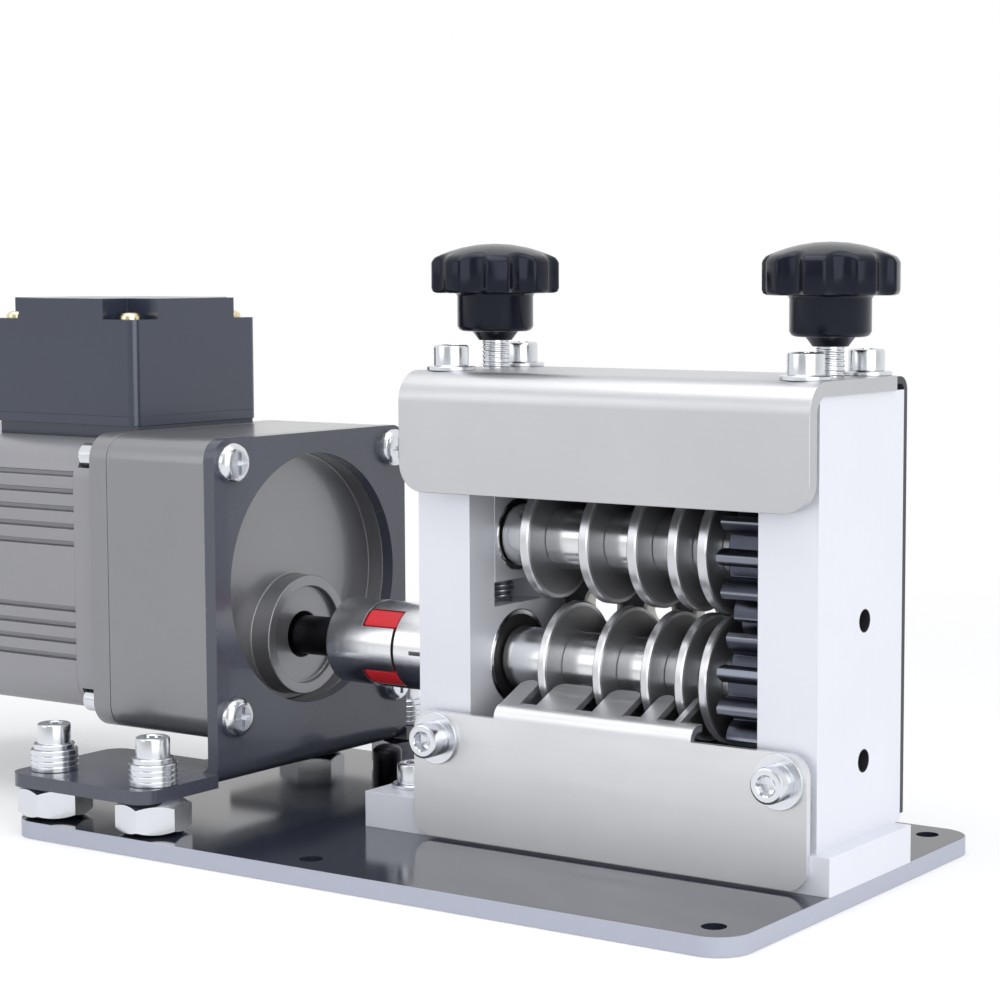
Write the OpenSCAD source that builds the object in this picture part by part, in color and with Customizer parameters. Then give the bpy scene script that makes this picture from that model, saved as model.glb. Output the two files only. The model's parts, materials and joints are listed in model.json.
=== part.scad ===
// Wire stripping machine: a two-shaft stripping unit and its gear motor on one base plate.
// The origin is the middle of the four mounting holes, on the underside of the base plate.
// X runs along the shafts towards the gear end, Y runs away from the user, Z is up.

/* [Base plate] */
// Spacing of the mounting holes along the shafts
mount_pitch_x = 130; // [124:1:140]
// Spacing of the mounting holes from front to back
mount_pitch_y = 120; // [112:1:124]
// Diameter of the mounting holes
mount_hole_d = 6.6; // [5:0.1:8]
// Distance of the right pair of mounting holes from the right edge
mount_inset = 11; // [8:1:16]
// Thickness of the base plate
base_t = 5; // [4:0.5:8]
// Radius of the base plate's corners
base_corner_r = 10; // [4:1:12]

/* [Stripping unit] */
// Width over the two side plates
unit_w = 130; // [128:1:136]
// Thickness of a side plate
plate_t = 18; // [17:0.5:18]
// Depth of a side plate from front to back
plate_d = 48; // [46:1:52]
// Height of a side plate above its foot bar
plate_h = 119.5; // [117:0.5:130]
// Distance of the right side plate from the right edge of the base
unit_setback = 5; // [2:0.5:8]
// How far the shafts stand behind the middle of the base
shaft_back = 6; // [0:0.5:12]
// Height of the foot bar under the side plates
foot_h = 10.5; // [8:0.5:14]
// Depth of the foot bar
foot_d = 47; // [44:1:50]
// How far the foot bar stands out in front of the side plates
foot_step = 2; // [1.5:0.5:3]
// How far the foot bar stands out on the left
foot_ear = 19; // [16:1:22]
// Height of the lower shaft above the foot bar
drive_rise = 39.5; // [38:0.5:44]
// Width of the pocket that guides a bearing block
slot_w = 24; // [23.5:0.5:26]
// Depth of the pocket that guides a bearing block
slot_depth = 13; // [10:0.5:13]

/* [Shafts, discs and gears] */
// Diameter of the two shafts
shaft_d = 12; // [10:0.5:12]
// Module of the two spur gears
gear_m = 3; // [2.9:0.05:3.1]
// Teeth on each spur gear
gear_z = 12; // [12:1:12]
// Width of the spur gears
gear_w = 13.5; // [10:0.5:13.5]
// Diameter of the discs
disc_d = 35.6; // [34:0.1:35.6]
// Thickness of an upper cutting disc
blade_t = 3; // [2:0.5:4]
// Thickness of a lower feed disc
feed_t = 2.5; // [1.5:0.5:3]
// Diameter of the sleeves between the discs
sleeve_d = 18; // [16:0.5:19]
// Left face of the first cutting disc, from the left side plate
blade_start = 12.6; // [11:0.2:14]
// Left face of the first feed disc, from the left side plate
feed_start = 18.7; // [18:0.1:20]
// Travel of the upper shaft
lift = 3; // [2:0.5:3]
// Thickness of the ball bearings' rings under the lower shaft
lower_bearing_w = 8; // [7:0.5:8]
// Outer diameter of the lower bearings
lower_bearing_d = 28; // [26:0.5:28]
// Outer diameter of the upper bearings
upper_bearing_d = 21; // [19:0.5:22]
// Width of the upper bearings
upper_bearing_w = 5; // [4:0.5:6]
// Height of a bearing block
block_h = 26; // [25:0.5:28]

/* [Covers] */
// Thickness of the upper cover
cover_t = 4; // [3.5:0.5:5]
// Distance of the upper cover's front face from the side plates
cover_reach = 7.5; // [6.5:0.5:10]
// Height of the upper cover's front skirt
cover_skirt = 34; // [28:1:36]
// How far the upper cover stands past each side plate
cover_lap = 1.2; // [0.5:0.1:3]
// Depth of the plate edge that the upper cover leaves to the rear plate's lip
cover_back = 5; // [4:0.5:6]
// Distance of the upper cover's screws from the outer face of a side plate
cover_screw_inset = 7.5; // [7:0.5:10]
// Distance of the upper cover's rear screws from the back of the side plates
cover_screw_back = 7.8; // [7:0.1:8]
// Thickness of the lower cover
comb_t = 2; // [1.5:0.5:2]
// Height of the lower cover above the base plate
comb_h = 41; // [40:0.5:42]
// Upward slope of the comb's fingers
comb_slope = 24; // [15:1:28]
// Thickness of the rear guide plate
guide_t = 2; // [1:0.5:2.5]
// Size of the screws that hold the covers and the foot
screw_d = 6; // [5:0.5:6]

/* [Pressure screws] */
// Diameter of a pressure screw
press_d = 8; // [7:0.5:8]
// Distance of a pressure screw from the inner face of its side plate
press_inset = 8; // [7:0.5:8]
// Thread that shows under a knob at rest
thread_show = 8.2; // [7.5:0.1:14]
// Diameter of a knob over its lobes
knob_d = 37; // [32:1:40]
// Height of the knob's lobes
knob_rim_h = 9.7; // [8:0.1:12]
// Height of the knob's neck
knob_neck_h = 11; // [8:0.1:14]
// Diameter of the knob's neck
knob_neck_d = 22; // [16:0.5:24]
// Lobes on a knob
knob_lobes = 8; // [6:1:10]

/* [Coupling] */
// Diameter of the jaw coupling
coupling_d = 26; // [22:0.5:30]
// Length of one coupling hub without its jaws
hub_l = 12.5; // [11:0.5:15]
// Length of the elastic star between the hubs
star_l = 13; // [10:0.5:15]
// Gap between the coupling and the left side plate
coupling_gap = 6; // [4:0.5:10]
// Shaft that shows between the bracket's face and the coupling
coupling_standoff = 15; // [12:0.5:20]

/* [Motor bracket] */
// Thickness of the bracket
bracket_t = 4; // [3:0.5:5]
// Outer radius of the bracket's bend
bracket_bend_r = 7; // [6:0.5:10]
// Length of a foot wing along the shafts
wing_l = 56; // [54:1:62]
// Depth of a foot wing from front to back
wing_d = 46; // [44:1:50]
// Height of the spacer nuts under the foot
nut_h = 10; // [8:0.5:10]
// Width across the flats of the spacer nuts
nut_af = 19; // [17:0.5:20]
// Spacing of the two screws in a wing
wing_screw_pitch = 40; // [36:1:41]
// Distance of the foot screws from the sides of the gearbox
wing_screw_gap = 8; // [7.5:0.5:14]
// Distance of the foot screws from the front and back edges of the base
wing_screw_edge = 11; // [11:0.5:16]
// Diameter of the window for the gearbox face
window_d = 77; // [62:1:80]

/* [Gearbox] */
// Width and height of the gearbox
gearbox_size = 90; // [90:1:92]
// Length of the gearbox housing without its rear plate
gearbox_l = 39.5; // [39:0.5:46]
// Thickness of the gearbox rear plate
rear_plate_t = 7; // [6.5:0.5:10]
// Wall of the gearbox housing
gearbox_wall = 6; // [4:0.5:6]
// Depth of the round recess in the gearbox face
recess_depth = 6; // [5:0.5:8]
// Distance of the output shaft below the middle of the gearbox
shaft_offset = 18; // [18:0.5:18]
// Diameter of the output boss
boss_d = 37; // [34:0.5:40]

/* [Motor] */
// How far the gearbox stands out beyond each side of the motor housing
motor_inset = 3; // [2:0.5:5]
// Length of the ribbed motor housing
motor_l = 80; // [76:1:120]
// Thickness of each motor end shield
shield_t = 10; // [9:0.5:14]
// Length of the fan cover
fan_cover_l = 25; // [22:1:35]
// Wall of the motor housing
motor_wall = 5; // [4.5:0.5:7]
// Length of the stator core
stator_l = 50; // [40:1:50]
// Diameter of the rotor
rotor_d = 45; // [40:1:46]
// Diameter of the motor shaft
motor_shaft_d = 8; // [7:0.5:8]

// Diameter of the long screws that hold the motor together
tie_d = 4; // [3:0.5:4]

/* [Black stud] */
// Distance of the stud behind the front edge of the base
stud_setback = 92; // [88:1:110]
// Height of the stud
stud_h = 15; // [10:1:18]
// Diameter of the stud
stud_d = 9; // [7:0.5:10]

/* [Terminal box] */
// Length of the terminal box along the motor
box_l = 63; // [52:1:72]
// Depth of the terminal box from front to back
box_d = 57; // [48:1:64]
// Height of the terminal box with its base
box_h = 39.5; // [34:0.5:46]
// How far the terminal box reaches over the gearbox
box_overhang = 0; // [0:0.5:4]
// How far the terminal box stands behind the middle of the motor
box_offset = 3.5; // [0:0.5:6]
// Wall of the terminal box
box_wall = 2.5; // [2:0.5:3]

/* [Hidden] */
$fn = 64;

// Clearances: on a seated fit, on a running shaft and beside a sliding block
seat_gap = 0.03;
run_gap = 0.05;
slide_gap = 0.15;

// Base plate edges
base_x1 = mount_pitch_x / 2 + mount_inset;
wing_screw_half = shaft_back + gearbox_size / 2 + wing_screw_gap;
base_w = 2 * (wing_screw_half + wing_screw_edge);
base_y0 = -base_w / 2;

// Side plates and foot bar
unit_x1 = base_x1 - unit_setback;
unit_x0 = unit_x1 - unit_w;
inner_x0 = unit_x0 + plate_t;
inner_x1 = unit_x1 - plate_t;
left_mid_x = unit_x0 + plate_t / 2;
right_mid_x = unit_x1 - plate_t / 2;
shaft_y = shaft_back;
plate_y0 = shaft_y - plate_d / 2;
plate_y1 = shaft_y + plate_d / 2;
foot_x0 = unit_x0 - foot_ear;
foot_y0 = plate_y0 - foot_step;
plate_z0 = base_t + foot_h;
plate_z1 = plate_z0 + plate_h;

// Shaft axes
drive_z = plate_z0 + drive_rise;
centre_dist = gear_m * gear_z;
cutter_z = drive_z + centre_dist;

// Bearing pockets and sliding blocks
bearing_wall = 2;
slot_z0 = drive_z + lower_bearing_d / 2 + bearing_wall;
block_z0 = cutter_z - block_h / 2;
block_z1 = cutter_z + block_h / 2;
block_l = slot_depth - slide_gap;
spring_d = 8;
spring_wire = 1;
spring_turns = 4;
spring_mid = slot_depth / 2;

// Columns of a side plate on each side of its pocket, where its screws stand
column = (plate_d - slot_w) / 2;
column_y = [plate_y0 + column / 2, plate_y1 - column / 2];

// Screws of the upper cover and the pressure screws, as seen from above
cover_screw_x = [unit_x0 + cover_screw_inset, unit_x1 - cover_screw_inset];
cover_screw_y = [plate_y0 + column / 2, plate_y1 - cover_screw_back];
press_x = [inner_x0 - press_inset, inner_x1 + press_inset];

// Discs: free widths between one disc and the next, then the left faces
blade_gaps = [17, 13, 10, 6.5];
feed_gaps = [16.1, 13.3, 8.5, 5.1];
function left_faces(start, gaps, t) =
    [for (i = 0, x = start; i <= len(gaps); x = x + t + (i < len(gaps) ? gaps[i] : 0), i = i + 1) x];
blade_x = left_faces(inner_x0 + blade_start, blade_gaps, blade_t);
feed_x = left_faces(inner_x0 + feed_start, feed_gaps, feed_t);
gear_end_gap = 1.5;
gear_x = inner_x1 - gear_end_gap - gear_w;
end_gap = 0.5;

// Covers
cover_x0 = unit_x0 - cover_lap;
cover_x1 = unit_x1 + cover_lap;
cover_y0 = plate_y0 - cover_reach;
cover_y1 = plate_y1 - cover_back;
cover_z1 = plate_z1 + cover_t;
cover_z0 = cover_z1 - cover_skirt;
cover_bend_r = cover_t + 4.5;
cover_corner_r = 8;
cover_rear_r = 2;
comb_y0 = foot_y0 - comb_t;
comb_z0 = base_t + 0.8;
comb_z1 = base_t + comb_h;
comb_bend_r = 4;
comb_corner_r = 6;
comb_lap_r = 0.8;
comb_root = 2;
comb_reach = 13;
comb_gap = 1.6;
comb_screw_z = base_t + 29.5;
guide_hole_d = [13, 11, 9, 8, 7];
guide_bend_r = 4;
lip_z1 = cover_z1 - 0.3;
lip_gap = 0.4;
bush_wall = 1.2;
nip_z = drive_z + (disc_d + sleeve_d) / 4;

// Screw proportions
head_d = screw_d * 10 / 6;
washer_d = screw_d * 14 / 6;
washer_t = 1.2;
hole_d = screw_d + 0.6;

// Pressure screws
press_z0 = block_z1 + 0.1;
collar_h = 2.6;
collar_d = press_d + 1.5;
valley_r = 5;
valley_depth = 2.5;
knob_z0 = cover_z1 + thread_show;
neck_z = knob_z0 + collar_h;
rim_z = neck_z + knob_neck_h;
dome_z = rim_z + knob_rim_h;
dome_h = 4.5;
dome_r = (pow(knob_d / 2, 2) + pow(dome_h, 2)) / (2 * dome_h);

// Coupling, bracket and gearbox along X
coupling_x1 = unit_x0 - coupling_gap;
coupling_l = 2 * hub_l + star_l;
coupling_x0 = coupling_x1 - coupling_l;
bracket_x1 = coupling_x0 - coupling_standoff;
bracket_x0 = bracket_x1 - bracket_t;
wing_x0 = bracket_x1 - wing_l;
base_x0 = wing_x0;
base_l = base_x1 - base_x0;
gearbox_x0 = bracket_x0 - gearbox_l;
rear_plate_x0 = gearbox_x0 - rear_plate_t;

// Gearbox across
gear_cz = drive_z + shaft_offset;
gearbox_y0 = shaft_y - gearbox_size / 2;
gearbox_z0 = gear_cz - gearbox_size / 2;
gearbox_z1 = gear_cz + gearbox_size / 2;
motor_size = gearbox_size - 2 * motor_inset;
motor_bore = motor_size - 2 * motor_wall;
gearbox_r = 8;
gearbox_screw = gearbox_size / 2 - 7.2;
corners = [[-1, -1], [1, -1], [-1, 1], [1, 1]];
recess_floor_t = 10;
recess_x0 = bracket_x0 - recess_depth;
cavity_x1 = recess_x0 - recess_floor_t;
boss_h = recess_depth + 1;
boss_lip = 2;

// Foot of the bracket
wing_z0 = base_t + nut_h;
wing_z1 = wing_z0 + bracket_t;
wing_corner_r = 6;
wing_screw_x = [wing_x0 + 9, wing_x0 + 9 + wing_screw_pitch];
wing_screw_y = [-wing_screw_half, wing_screw_half];
foot_washer_t = 1.6;
foot_washers = 4;
spring_washer_t = 1.6;
foot_stack = foot_washers * foot_washer_t + spring_washer_t;

// Reduction: motor pinion, layshaft gear, layshaft pinion and output gear
fine_m = 0.8;
pinion_z = 9;
lay_gear_z = 40;
coarse_m = 1;
lay_pinion_z = 12;
out_gear_z = 36;
lay_to_motor = fine_m * (pinion_z + lay_gear_z) / 2;
lay_to_out = coarse_m * (lay_pinion_z + out_gear_z) / 2;
lay_dz = (pow(lay_to_out, 2) - pow(lay_to_motor, 2) + pow(shaft_offset, 2)) / (2 * shaft_offset);
lay_dy = sqrt(pow(lay_to_out, 2) - pow(lay_dz, 2));
lay_y = shaft_y + lay_dy;
lay_z = drive_z + lay_dz;
lay_d = 8;
stage_gap = 1;
first_stage_w = 8;
second_stage_w = 11;
first_stage_x = gearbox_x0 + stage_gap;
second_stage_x = first_stage_x + first_stage_w + stage_gap;
small_bearing_d = 16;
small_bearing_w = 4;
thin_bearing_d = 21;
thin_bearing_w = 5;

// Black stud on the base plate
stud_x = coupling_x0;
stud_y = base_y0 + stud_setback;
stud_thread_d = 5;

// Tie screws of the motor, between the stator bore and the pockets of the gearbox screws
tie_reach = (motor_bore / 2 + 6) * cos(45);
tie_grip = 6;

// Motor along X, from the gearbox to the left
front_shield_x = rear_plate_x0 - shield_t;
motor_x0 = front_shield_x - motor_l;
rear_shield_x = motor_x0 - shield_t;
fan_cover_x = rear_shield_x - fan_cover_l;
motor_r = 12;
motor_bearing_d = 22;
motor_bearing_w = 7;
groove_depth = 2;
groove_w = 1.6;
upper_grooves = [for (i = [0:4]) gear_cz + 32 - 5.4 * i];
lower_grooves = [for (i = [0:3]) gear_cz - 9.8 - 5 * i];
bolt_end_d = 7.4;
bolt_end_l = 8;
bolt_pocket_d = 10;
stator_x0 = motor_x0 + (motor_l - stator_l) / 2;
winding_l = 10;
fan_w = 10;
fan_gap = 4;
fan_d = motor_size - 16;
fan_wall = 2;
vent_w = 3;

// Terminal box
box_x1 = rear_plate_x0 + box_overhang;
box_x0 = box_x1 - box_l;
box_mid_y = shaft_y + box_offset;
box_y0 = box_mid_y - box_d / 2;
box_seat_z = gear_cz + motor_size / 2;
box_lift = 4;
box_z0 = box_seat_z + box_lift;
box_pad_inset = 2;
box_pad_end = 0.5;
box_pad_w = box_d - 2 * box_pad_inset;
box_z1 = box_z0 + box_h;
box_base_t = 3;
box_r = 3;
lid_recess = [13, 11, 6.5];
lid_screw = [6.5, 5.5];
lid_post_d = 5.6;
gland_d = 16;
gland_hole_d = 12;
gland_z = box_z0 + box_h / 2;

// Turns a flat shape, drawn as (Y, Z), into a solid that starts at x and is l long
module along_x(x, l) {
    translate([x, 0, 0]) rotate([90, 0, 90]) linear_extrude(l) children();
}

// Turns a flat shape, drawn as (X, Z), into a solid that starts at y and is l deep
module along_y(y, l) {
    translate([0, y + l, 0]) rotate([90, 0, 0]) linear_extrude(l) children();
}

// Round bar along X
module bar_x(x, l, d, y = shaft_y, z = drive_z) {
    translate([x, y, z]) rotate([0, 90, 0]) cylinder(h = l, d = d);
}

// Ring along X
module ring_x(x, l, d, bore, y = shaft_y, z = drive_z) {
    difference() {
        bar_x(x, l, d, y, z);
        bar_x(x - 1, l + 2, bore, y, z);
    }
}

// Rectangle with round corners, from its low corner
module round_rect(size, r) {
    translate([r, 0]) square([size.x - 2 * r, size.y]);
    translate([0, r]) square([size.x, size.y - 2 * r]);
    for (x = [r, size.x - r], y = [r, size.y - r]) translate([x, y]) circle(r);
}

// Socket head screw, head up, with its seat at z = 0
module socket_screw(d, l, head = 0) {
    hd = head > 0 ? head : d * 10 / 6;
    difference() {
        union() {
            cylinder(h = d, d = hd);
            translate([0, 0, -l]) cylinder(h = l, d = d);
        }
        translate([0, 0, d * 0.45]) cylinder(h = d, d = d * 0.95, $fn = 6);
    }
}

// Flat washer that stands on z = 0
module washer(d, bore, t) {
    difference() {
        cylinder(h = t, d = d);
        translate([0, 0, -1]) cylinder(h = t + 2, d = bore);
    }
}

// Pan head screw with a cross recess, head up, with its seat at z = 0
module pan_screw(d, head, l) {
    head_h = head * 0.32;
    cross_w = head * 0.12;
    difference() {
        union() {
            rotate_extrude() polygon([[0, 0], [head / 2, 0], [head / 2, head_h * 0.45],
                [head * 0.43, head_h * 0.8], [head * 0.3, head_h], [0, head_h]]);
            translate([0, 0, -l]) cylinder(h = l, d = d);
        }
        for (a = [0, 90]) rotate(a)
            translate([-head * 0.28, -cross_w / 2, head_h * 0.45]) cube([head * 0.56, cross_w, head_h]);
    }
}

// Spur gear outline: involute flanks, with slim roots that clear the mating tips
function inv_deg(a) = tan(a) * 180 / PI - a;
module gear_outline(m, z, turn = 0, backlash = 0.06) {
    r = m * z / 2;
    base_r = r * cos(20);
    tip_r = r + 0.95 * m;
    root_r = r - 1.25 * m;
    half = 90 / z - backlash * m * 90 / (PI * r) + inv_deg(20);
    low_r = max(base_r, root_r);
    radii = [for (k = [0:4]) low_r + (tip_r - low_r) * k / 4];
    flank = [for (q = radii) [q, half - inv_deg(acos(min(1, base_r / q)))]];
    foot = [[root_r, flank[0][1] * 0.8]];
    side = concat(foot, flank);
    n = len(side);
    polygon([for (i = [0:z - 1], j = [0:2 * n - 1])
        let (p = j < n ? side[j] : side[2 * n - 1 - j], a = i * 360 / z + turn + (j < n ? -p[1] : p[1]))
        p[0] * [cos(a), sin(a)]]);
}

// Gear on an axis along X, with its bore
module gear_x(x, w, m, z, bore, y, az, turn = 0) {
    difference() {
        translate([0, y, az]) along_x(x, w) gear_outline(m, z, turn);
        bar_x(x - 1, w + 2, bore, y, az);
    }
}

// Steel base plate with round corners, mounting holes and tapped holes
module base_plate() color("#4a4f5c") {
    difference() {
        translate([base_x0, base_y0, 0]) linear_extrude(base_t) round_rect([base_l, base_w], base_corner_r);
        for (x = [-1, 1], y = [-1, 1]) translate([x * mount_pitch_x / 2, y * mount_pitch_y / 2, -1])
            cylinder(h = base_t + 2, d = mount_hole_d);
        for (x = wing_screw_x, y = wing_screw_y) translate([x, y, -1])
            cylinder(h = base_t + 2, d = screw_d + 2 * seat_gap);
        for (p = foot_screw_at) translate([p.x, p.y, -1])
            cylinder(h = base_t + 2, d = screw_d + 2 * seat_gap);
        translate([stud_x, stud_y, -1]) cylinder(h = base_t + 2, d = stud_thread_d + 2 * seat_gap);
    }
}

// Places of the screws that hold the foot bar: two in the ear and two between the plates
foot_screw_at = [[foot_x0 + 8, foot_y0 + 13], [foot_x0 + 8, foot_y0 + foot_d - 8],
    [inner_x1 - 12, foot_y0 + 13], [inner_x1 - 12, foot_y0 + foot_d - 8]];

// Aluminium bar that carries both side plates
module foot_bar() color("#c9ccd3") {
    difference() {
        translate([foot_x0, foot_y0, base_t]) cube([base_x1 - foot_x0, foot_d, foot_h]);
        for (p = foot_screw_at) translate([p.x, p.y, base_t - 1]) cylinder(h = foot_h + 2, d = hole_d);
        for (x = [left_mid_x, right_mid_x], y = column_y) translate([x, y, base_t - 1]) {
            cylinder(h = foot_h + 2, d = hole_d);
            cylinder(h = screw_d + 1.5, d = head_d + 1);
        }
    }
}

// Socket screws that hold the foot bar on the base plate
module foot_screws() color("#d8dbe0") {
    for (p = foot_screw_at) translate([p.x, p.y, plate_z0]) {
        translate([0, 0, washer_t]) socket_screw(screw_d, foot_h + base_t + washer_t - 0.5);
        washer(washer_d - 1, hole_d, washer_t);
    }
}

// Screws that come up through the foot bar into the side plates
module side_plate_screws() color("#b9bcc4") {
    for (x = [left_mid_x, right_mid_x], y = column_y)
        translate([x, y, base_t + screw_d + 0.5]) mirror([0, 0, 1])
            socket_screw(screw_d, foot_h + 5.5);
}

// One side plate, drawn with its inner face towards +X
module side_plate(x0, through) {
    inner = x0 + plate_t;
    difference() {
        translate([x0, plate_y0, plate_z0]) cube([plate_t, plate_d, plate_h]);
        translate([inner - slot_depth, shaft_y - slot_w / 2, slot_z0])
            cube([slot_depth + 1, slot_w, plate_z1 - slot_z0 + 1]);
        bar_x(inner - lower_bearing_w, lower_bearing_w + 1, lower_bearing_d + 2 * seat_gap);
        bar_x(through ? x0 - 1 : inner - lower_bearing_w - 3, plate_t, shaft_d + 3);
        for (y = column_y) translate([x0 + plate_t / 2, y, plate_z0 - 1])
            cylinder(h = 15, d = screw_d + 2 * seat_gap);
        for (y = cover_screw_y) translate([x0 + cover_screw_inset, y, plate_z1 - 14])
            cylinder(h = 15, d = screw_d + 2 * seat_gap);
        translate([x0 + plate_t / 2, plate_y0 - 1, comb_screw_z]) rotate([-90, 0, 0])
            cylinder(h = 12, d = screw_d + 2 * seat_gap);
        for (z = guide_screw_z) translate([x0 + plate_t / 2, plate_y1 - 8, z]) rotate([-90, 0, 0])
            cylinder(h = 10, d = guide_screw_d + 2 * seat_gap);
    }
}
guide_screw_d = 4;
guide_screw_z = [plate_z0 + 20, plate_z1 - 22];

// Left side plate: the lower shaft passes through it to the coupling
module side_plate_left() color("#e4e7ef") {
    side_plate(unit_x0, true);
}

// Right side plate: closed outside but for two tapped holes above and below the lower shaft
side_hole_reach = 19;
side_hole_back = 2;
side_hole_d = 6;
module side_plate_right() color("#e4e7ef") {
    difference() {
        translate([unit_x0 + unit_x1, 0, 0]) mirror([1, 0, 0]) side_plate(unit_x0, false);
        for (s = [-1, 1]) bar_x(unit_x1 - plate_t + slot_depth - 1, plate_t, side_hole_d,
            shaft_y + side_hole_back, drive_z + s * side_hole_reach);
    }
}

// Outline of a bent plate as seen from the right: a front skirt, a bend and a top
module bent_profile(y0, y1, z0, z1, t, r) {
    translate([y0, z0]) square([t, z1 - r - z0]);
    translate([y0 + r, z1 - t]) square([y1 - y0 - r, t]);
    intersection() {
        difference() {
            translate([y0 + r, z1 - r]) circle(r);
            translate([y0 + r, z1 - r]) circle(r - t);
        }
        translate([y0, z1 - r]) square(r);
    }
}

// Bent steel cover over the top and the upper front, tapped for the pressure screws
module upper_cover() color("#bfc1c6") {
    difference() {
        along_x(cover_x0, cover_x1 - cover_x0)
            bent_profile(cover_y0, cover_y1, cover_z0, cover_z1, cover_t, cover_bend_r);
        for (s = [-1, 1]) translate([s < 0 ? cover_x0 : cover_x1, cover_y0 - 1, cover_z0])
            rotate([-90, 0, 0]) mirror([s < 0 ? 0 : 1, 0, 0]) mirror([0, 1, 0])
                linear_extrude(cover_t + 2) corner_cut(cover_corner_r);
        for (s = [-1, 1]) translate([s < 0 ? cover_x0 : cover_x1, cover_y1, plate_z1 - 1])
            mirror([s < 0 ? 0 : 1, 0, 0]) mirror([0, 1, 0])
                linear_extrude(cover_t + 2) corner_cut(cover_rear_r);
        for (x = cover_screw_x, y = cover_screw_y) translate([x, y, plate_z1 - 1])
            cylinder(h = cover_t + 2, d = hole_d);
        for (x = press_x) translate([x, shaft_y, plate_z1 - 1])
            cylinder(h = cover_t + 2, d = press_d + 2 * run_gap);
    }
}

// What is cut away to round an outer corner at the origin, in the +X +Y quarter
module corner_cut(r) {
    difference() {
        translate([-1, -1]) square(r + 1);
        translate([r, r]) circle(r);
    }
}

// Flanged socket screws on top of the cover
module upper_cover_screws() color("#dfe3e8") {
    for (x = cover_screw_x, y = cover_screw_y) translate([x, y, cover_z1]) {
        translate([0, 0, washer_t]) socket_screw(screw_d, cover_t + washer_t + 11);
        washer(washer_d, hole_d, washer_t);
    }
}

// Lower front cover: its top bends back into a comb that reaches between the feed discs
comb_x0 = inner_x0 + 11;
comb_x1 = feed_x[4] + feed_t + comb_gap;
module lower_cover() color("#bdbfc5") {
    difference() {
        union() {
            along_y(comb_y0, comb_t)
                translate([unit_x0 + comb_lap_r, comb_z0])
                    round_rect([unit_w - 2 * comb_lap_r, comb_z1 - comb_z0 - comb_bend_r], comb_corner_r);
            along_x(comb_x0, comb_x1 - comb_x0)
                bent_profile(comb_y0, comb_y0 + comb_bend_r + comb_root, comb_z1 - 2 * comb_bend_r,
                    comb_z1, comb_t, comb_bend_r);
            comb_fingers();
        }
        for (x = [left_mid_x, right_mid_x]) translate([x, comb_y0 - 1, comb_screw_z])
            rotate([-90, 0, 0]) cylinder(h = comb_t + 2, d = hole_d);
    }
}

// Fingers of the comb, with round tips, one to the left of each feed disc
module comb_fingers() {
    edges = concat([comb_x0 - comb_gap - feed_t], feed_x);
    for (i = [0:4]) {
        x0 = edges[i] + feed_t + comb_gap;
        w = edges[i + 1] - comb_gap - x0;
        r = min(w / 2 - 0.05, 3);
        translate([x0, comb_y0 + comb_bend_r, comb_z1 - comb_t]) rotate([comb_slope, 0, 0]) linear_extrude(comb_t) {
            square([w, comb_reach - r]);
            translate([r, 0]) square([w - 2 * r, comb_reach]);
            for (x = [r, w - r]) translate([x, comb_reach - r]) circle(r);
        }
    }
}

// Socket screws of the lower cover
module lower_cover_screws() color("#dfe1e4") {
    for (x = [left_mid_x, right_mid_x]) translate([x, comb_y0 - washer_t, comb_screw_z])
        rotate([90, 0, 0]) socket_screw(screw_d, washer_t + comb_t + foot_step + 9);
}

// Washers in front of the lower cover, and the spacer rings behind it
module lower_cover_washers() color("#c8cbd0") {
    for (x = [left_mid_x, right_mid_x]) translate([x, 0, comb_screw_z]) {
        translate([0, comb_y0, 0]) rotate([90, 0, 0]) washer(washer_d + 1, hole_d, washer_t);
        translate([0, plate_y0, 0]) rotate([90, 0, 0]) washer(washer_d - 2, hole_d, foot_step);
    }
}

// Thin infeed plate on the back, with a guide hole behind each cutting disc and a bent top lip
module rear_guide_plate() color("#8f939b") {
    difference() {
        along_x(unit_x0, unit_w) translate([plate_y1 + guide_t, 0]) mirror([1, 0])
            bent_profile(0, plate_y1 + guide_t - cover_y1 - lip_gap, plate_z0 + 2, lip_z1, guide_t,
                guide_bend_r);
        for (i = [0:4]) translate([blade_x[i] + blade_t / 2, plate_y1 - 1, nip_z]) rotate([-90, 0, 0])
            cylinder(h = guide_t + 2, d = guide_hole_d[i]);
        for (x = [left_mid_x, right_mid_x], z = guide_screw_z) translate([x, plate_y1 - 1, z])
            rotate([-90, 0, 0]) cylinder(h = guide_t + 2, d = guide_screw_d + 0.4);
    }
}

// Pan head screws of the infeed plate
module rear_guide_screws() color("#d5d8dd") {
    for (x = [left_mid_x, right_mid_x], z = guide_screw_z) translate([x, plate_y1 + guide_t, z])
        rotate([-90, 0, 0]) pan_screw(guide_screw_d, guide_screw_d * 2, guide_t + 7);
}

// Smooth rings pressed into the guide holes
module guide_bushes() color("#e8e6df") {
    for (i = [0:4]) translate([blade_x[i] + blade_t / 2, plate_y1, nip_z]) rotate([-90, 0, 0])
        difference() {
            union() {
                translate([0, 0, -1.5]) cylinder(h = guide_t + 1.5, d = guide_hole_d[i] - 2 * seat_gap);
                translate([0, 0, guide_t]) cylinder(h = 1.5, d = guide_hole_d[i] + 1.6);
            }
            translate([0, 0, -3]) cylinder(h = guide_t + 6, d = guide_hole_d[i] - 2 * bush_wall);
        }
}

// Ball bearings of the lower shaft, one in each side plate
module lower_bearings() color("#c4c8cf") {
    for (x = [inner_x0 - lower_bearing_w, inner_x1])
        ring_x(x, lower_bearing_w, lower_bearing_d, shaft_d + 2 * run_gap);
}

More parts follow.
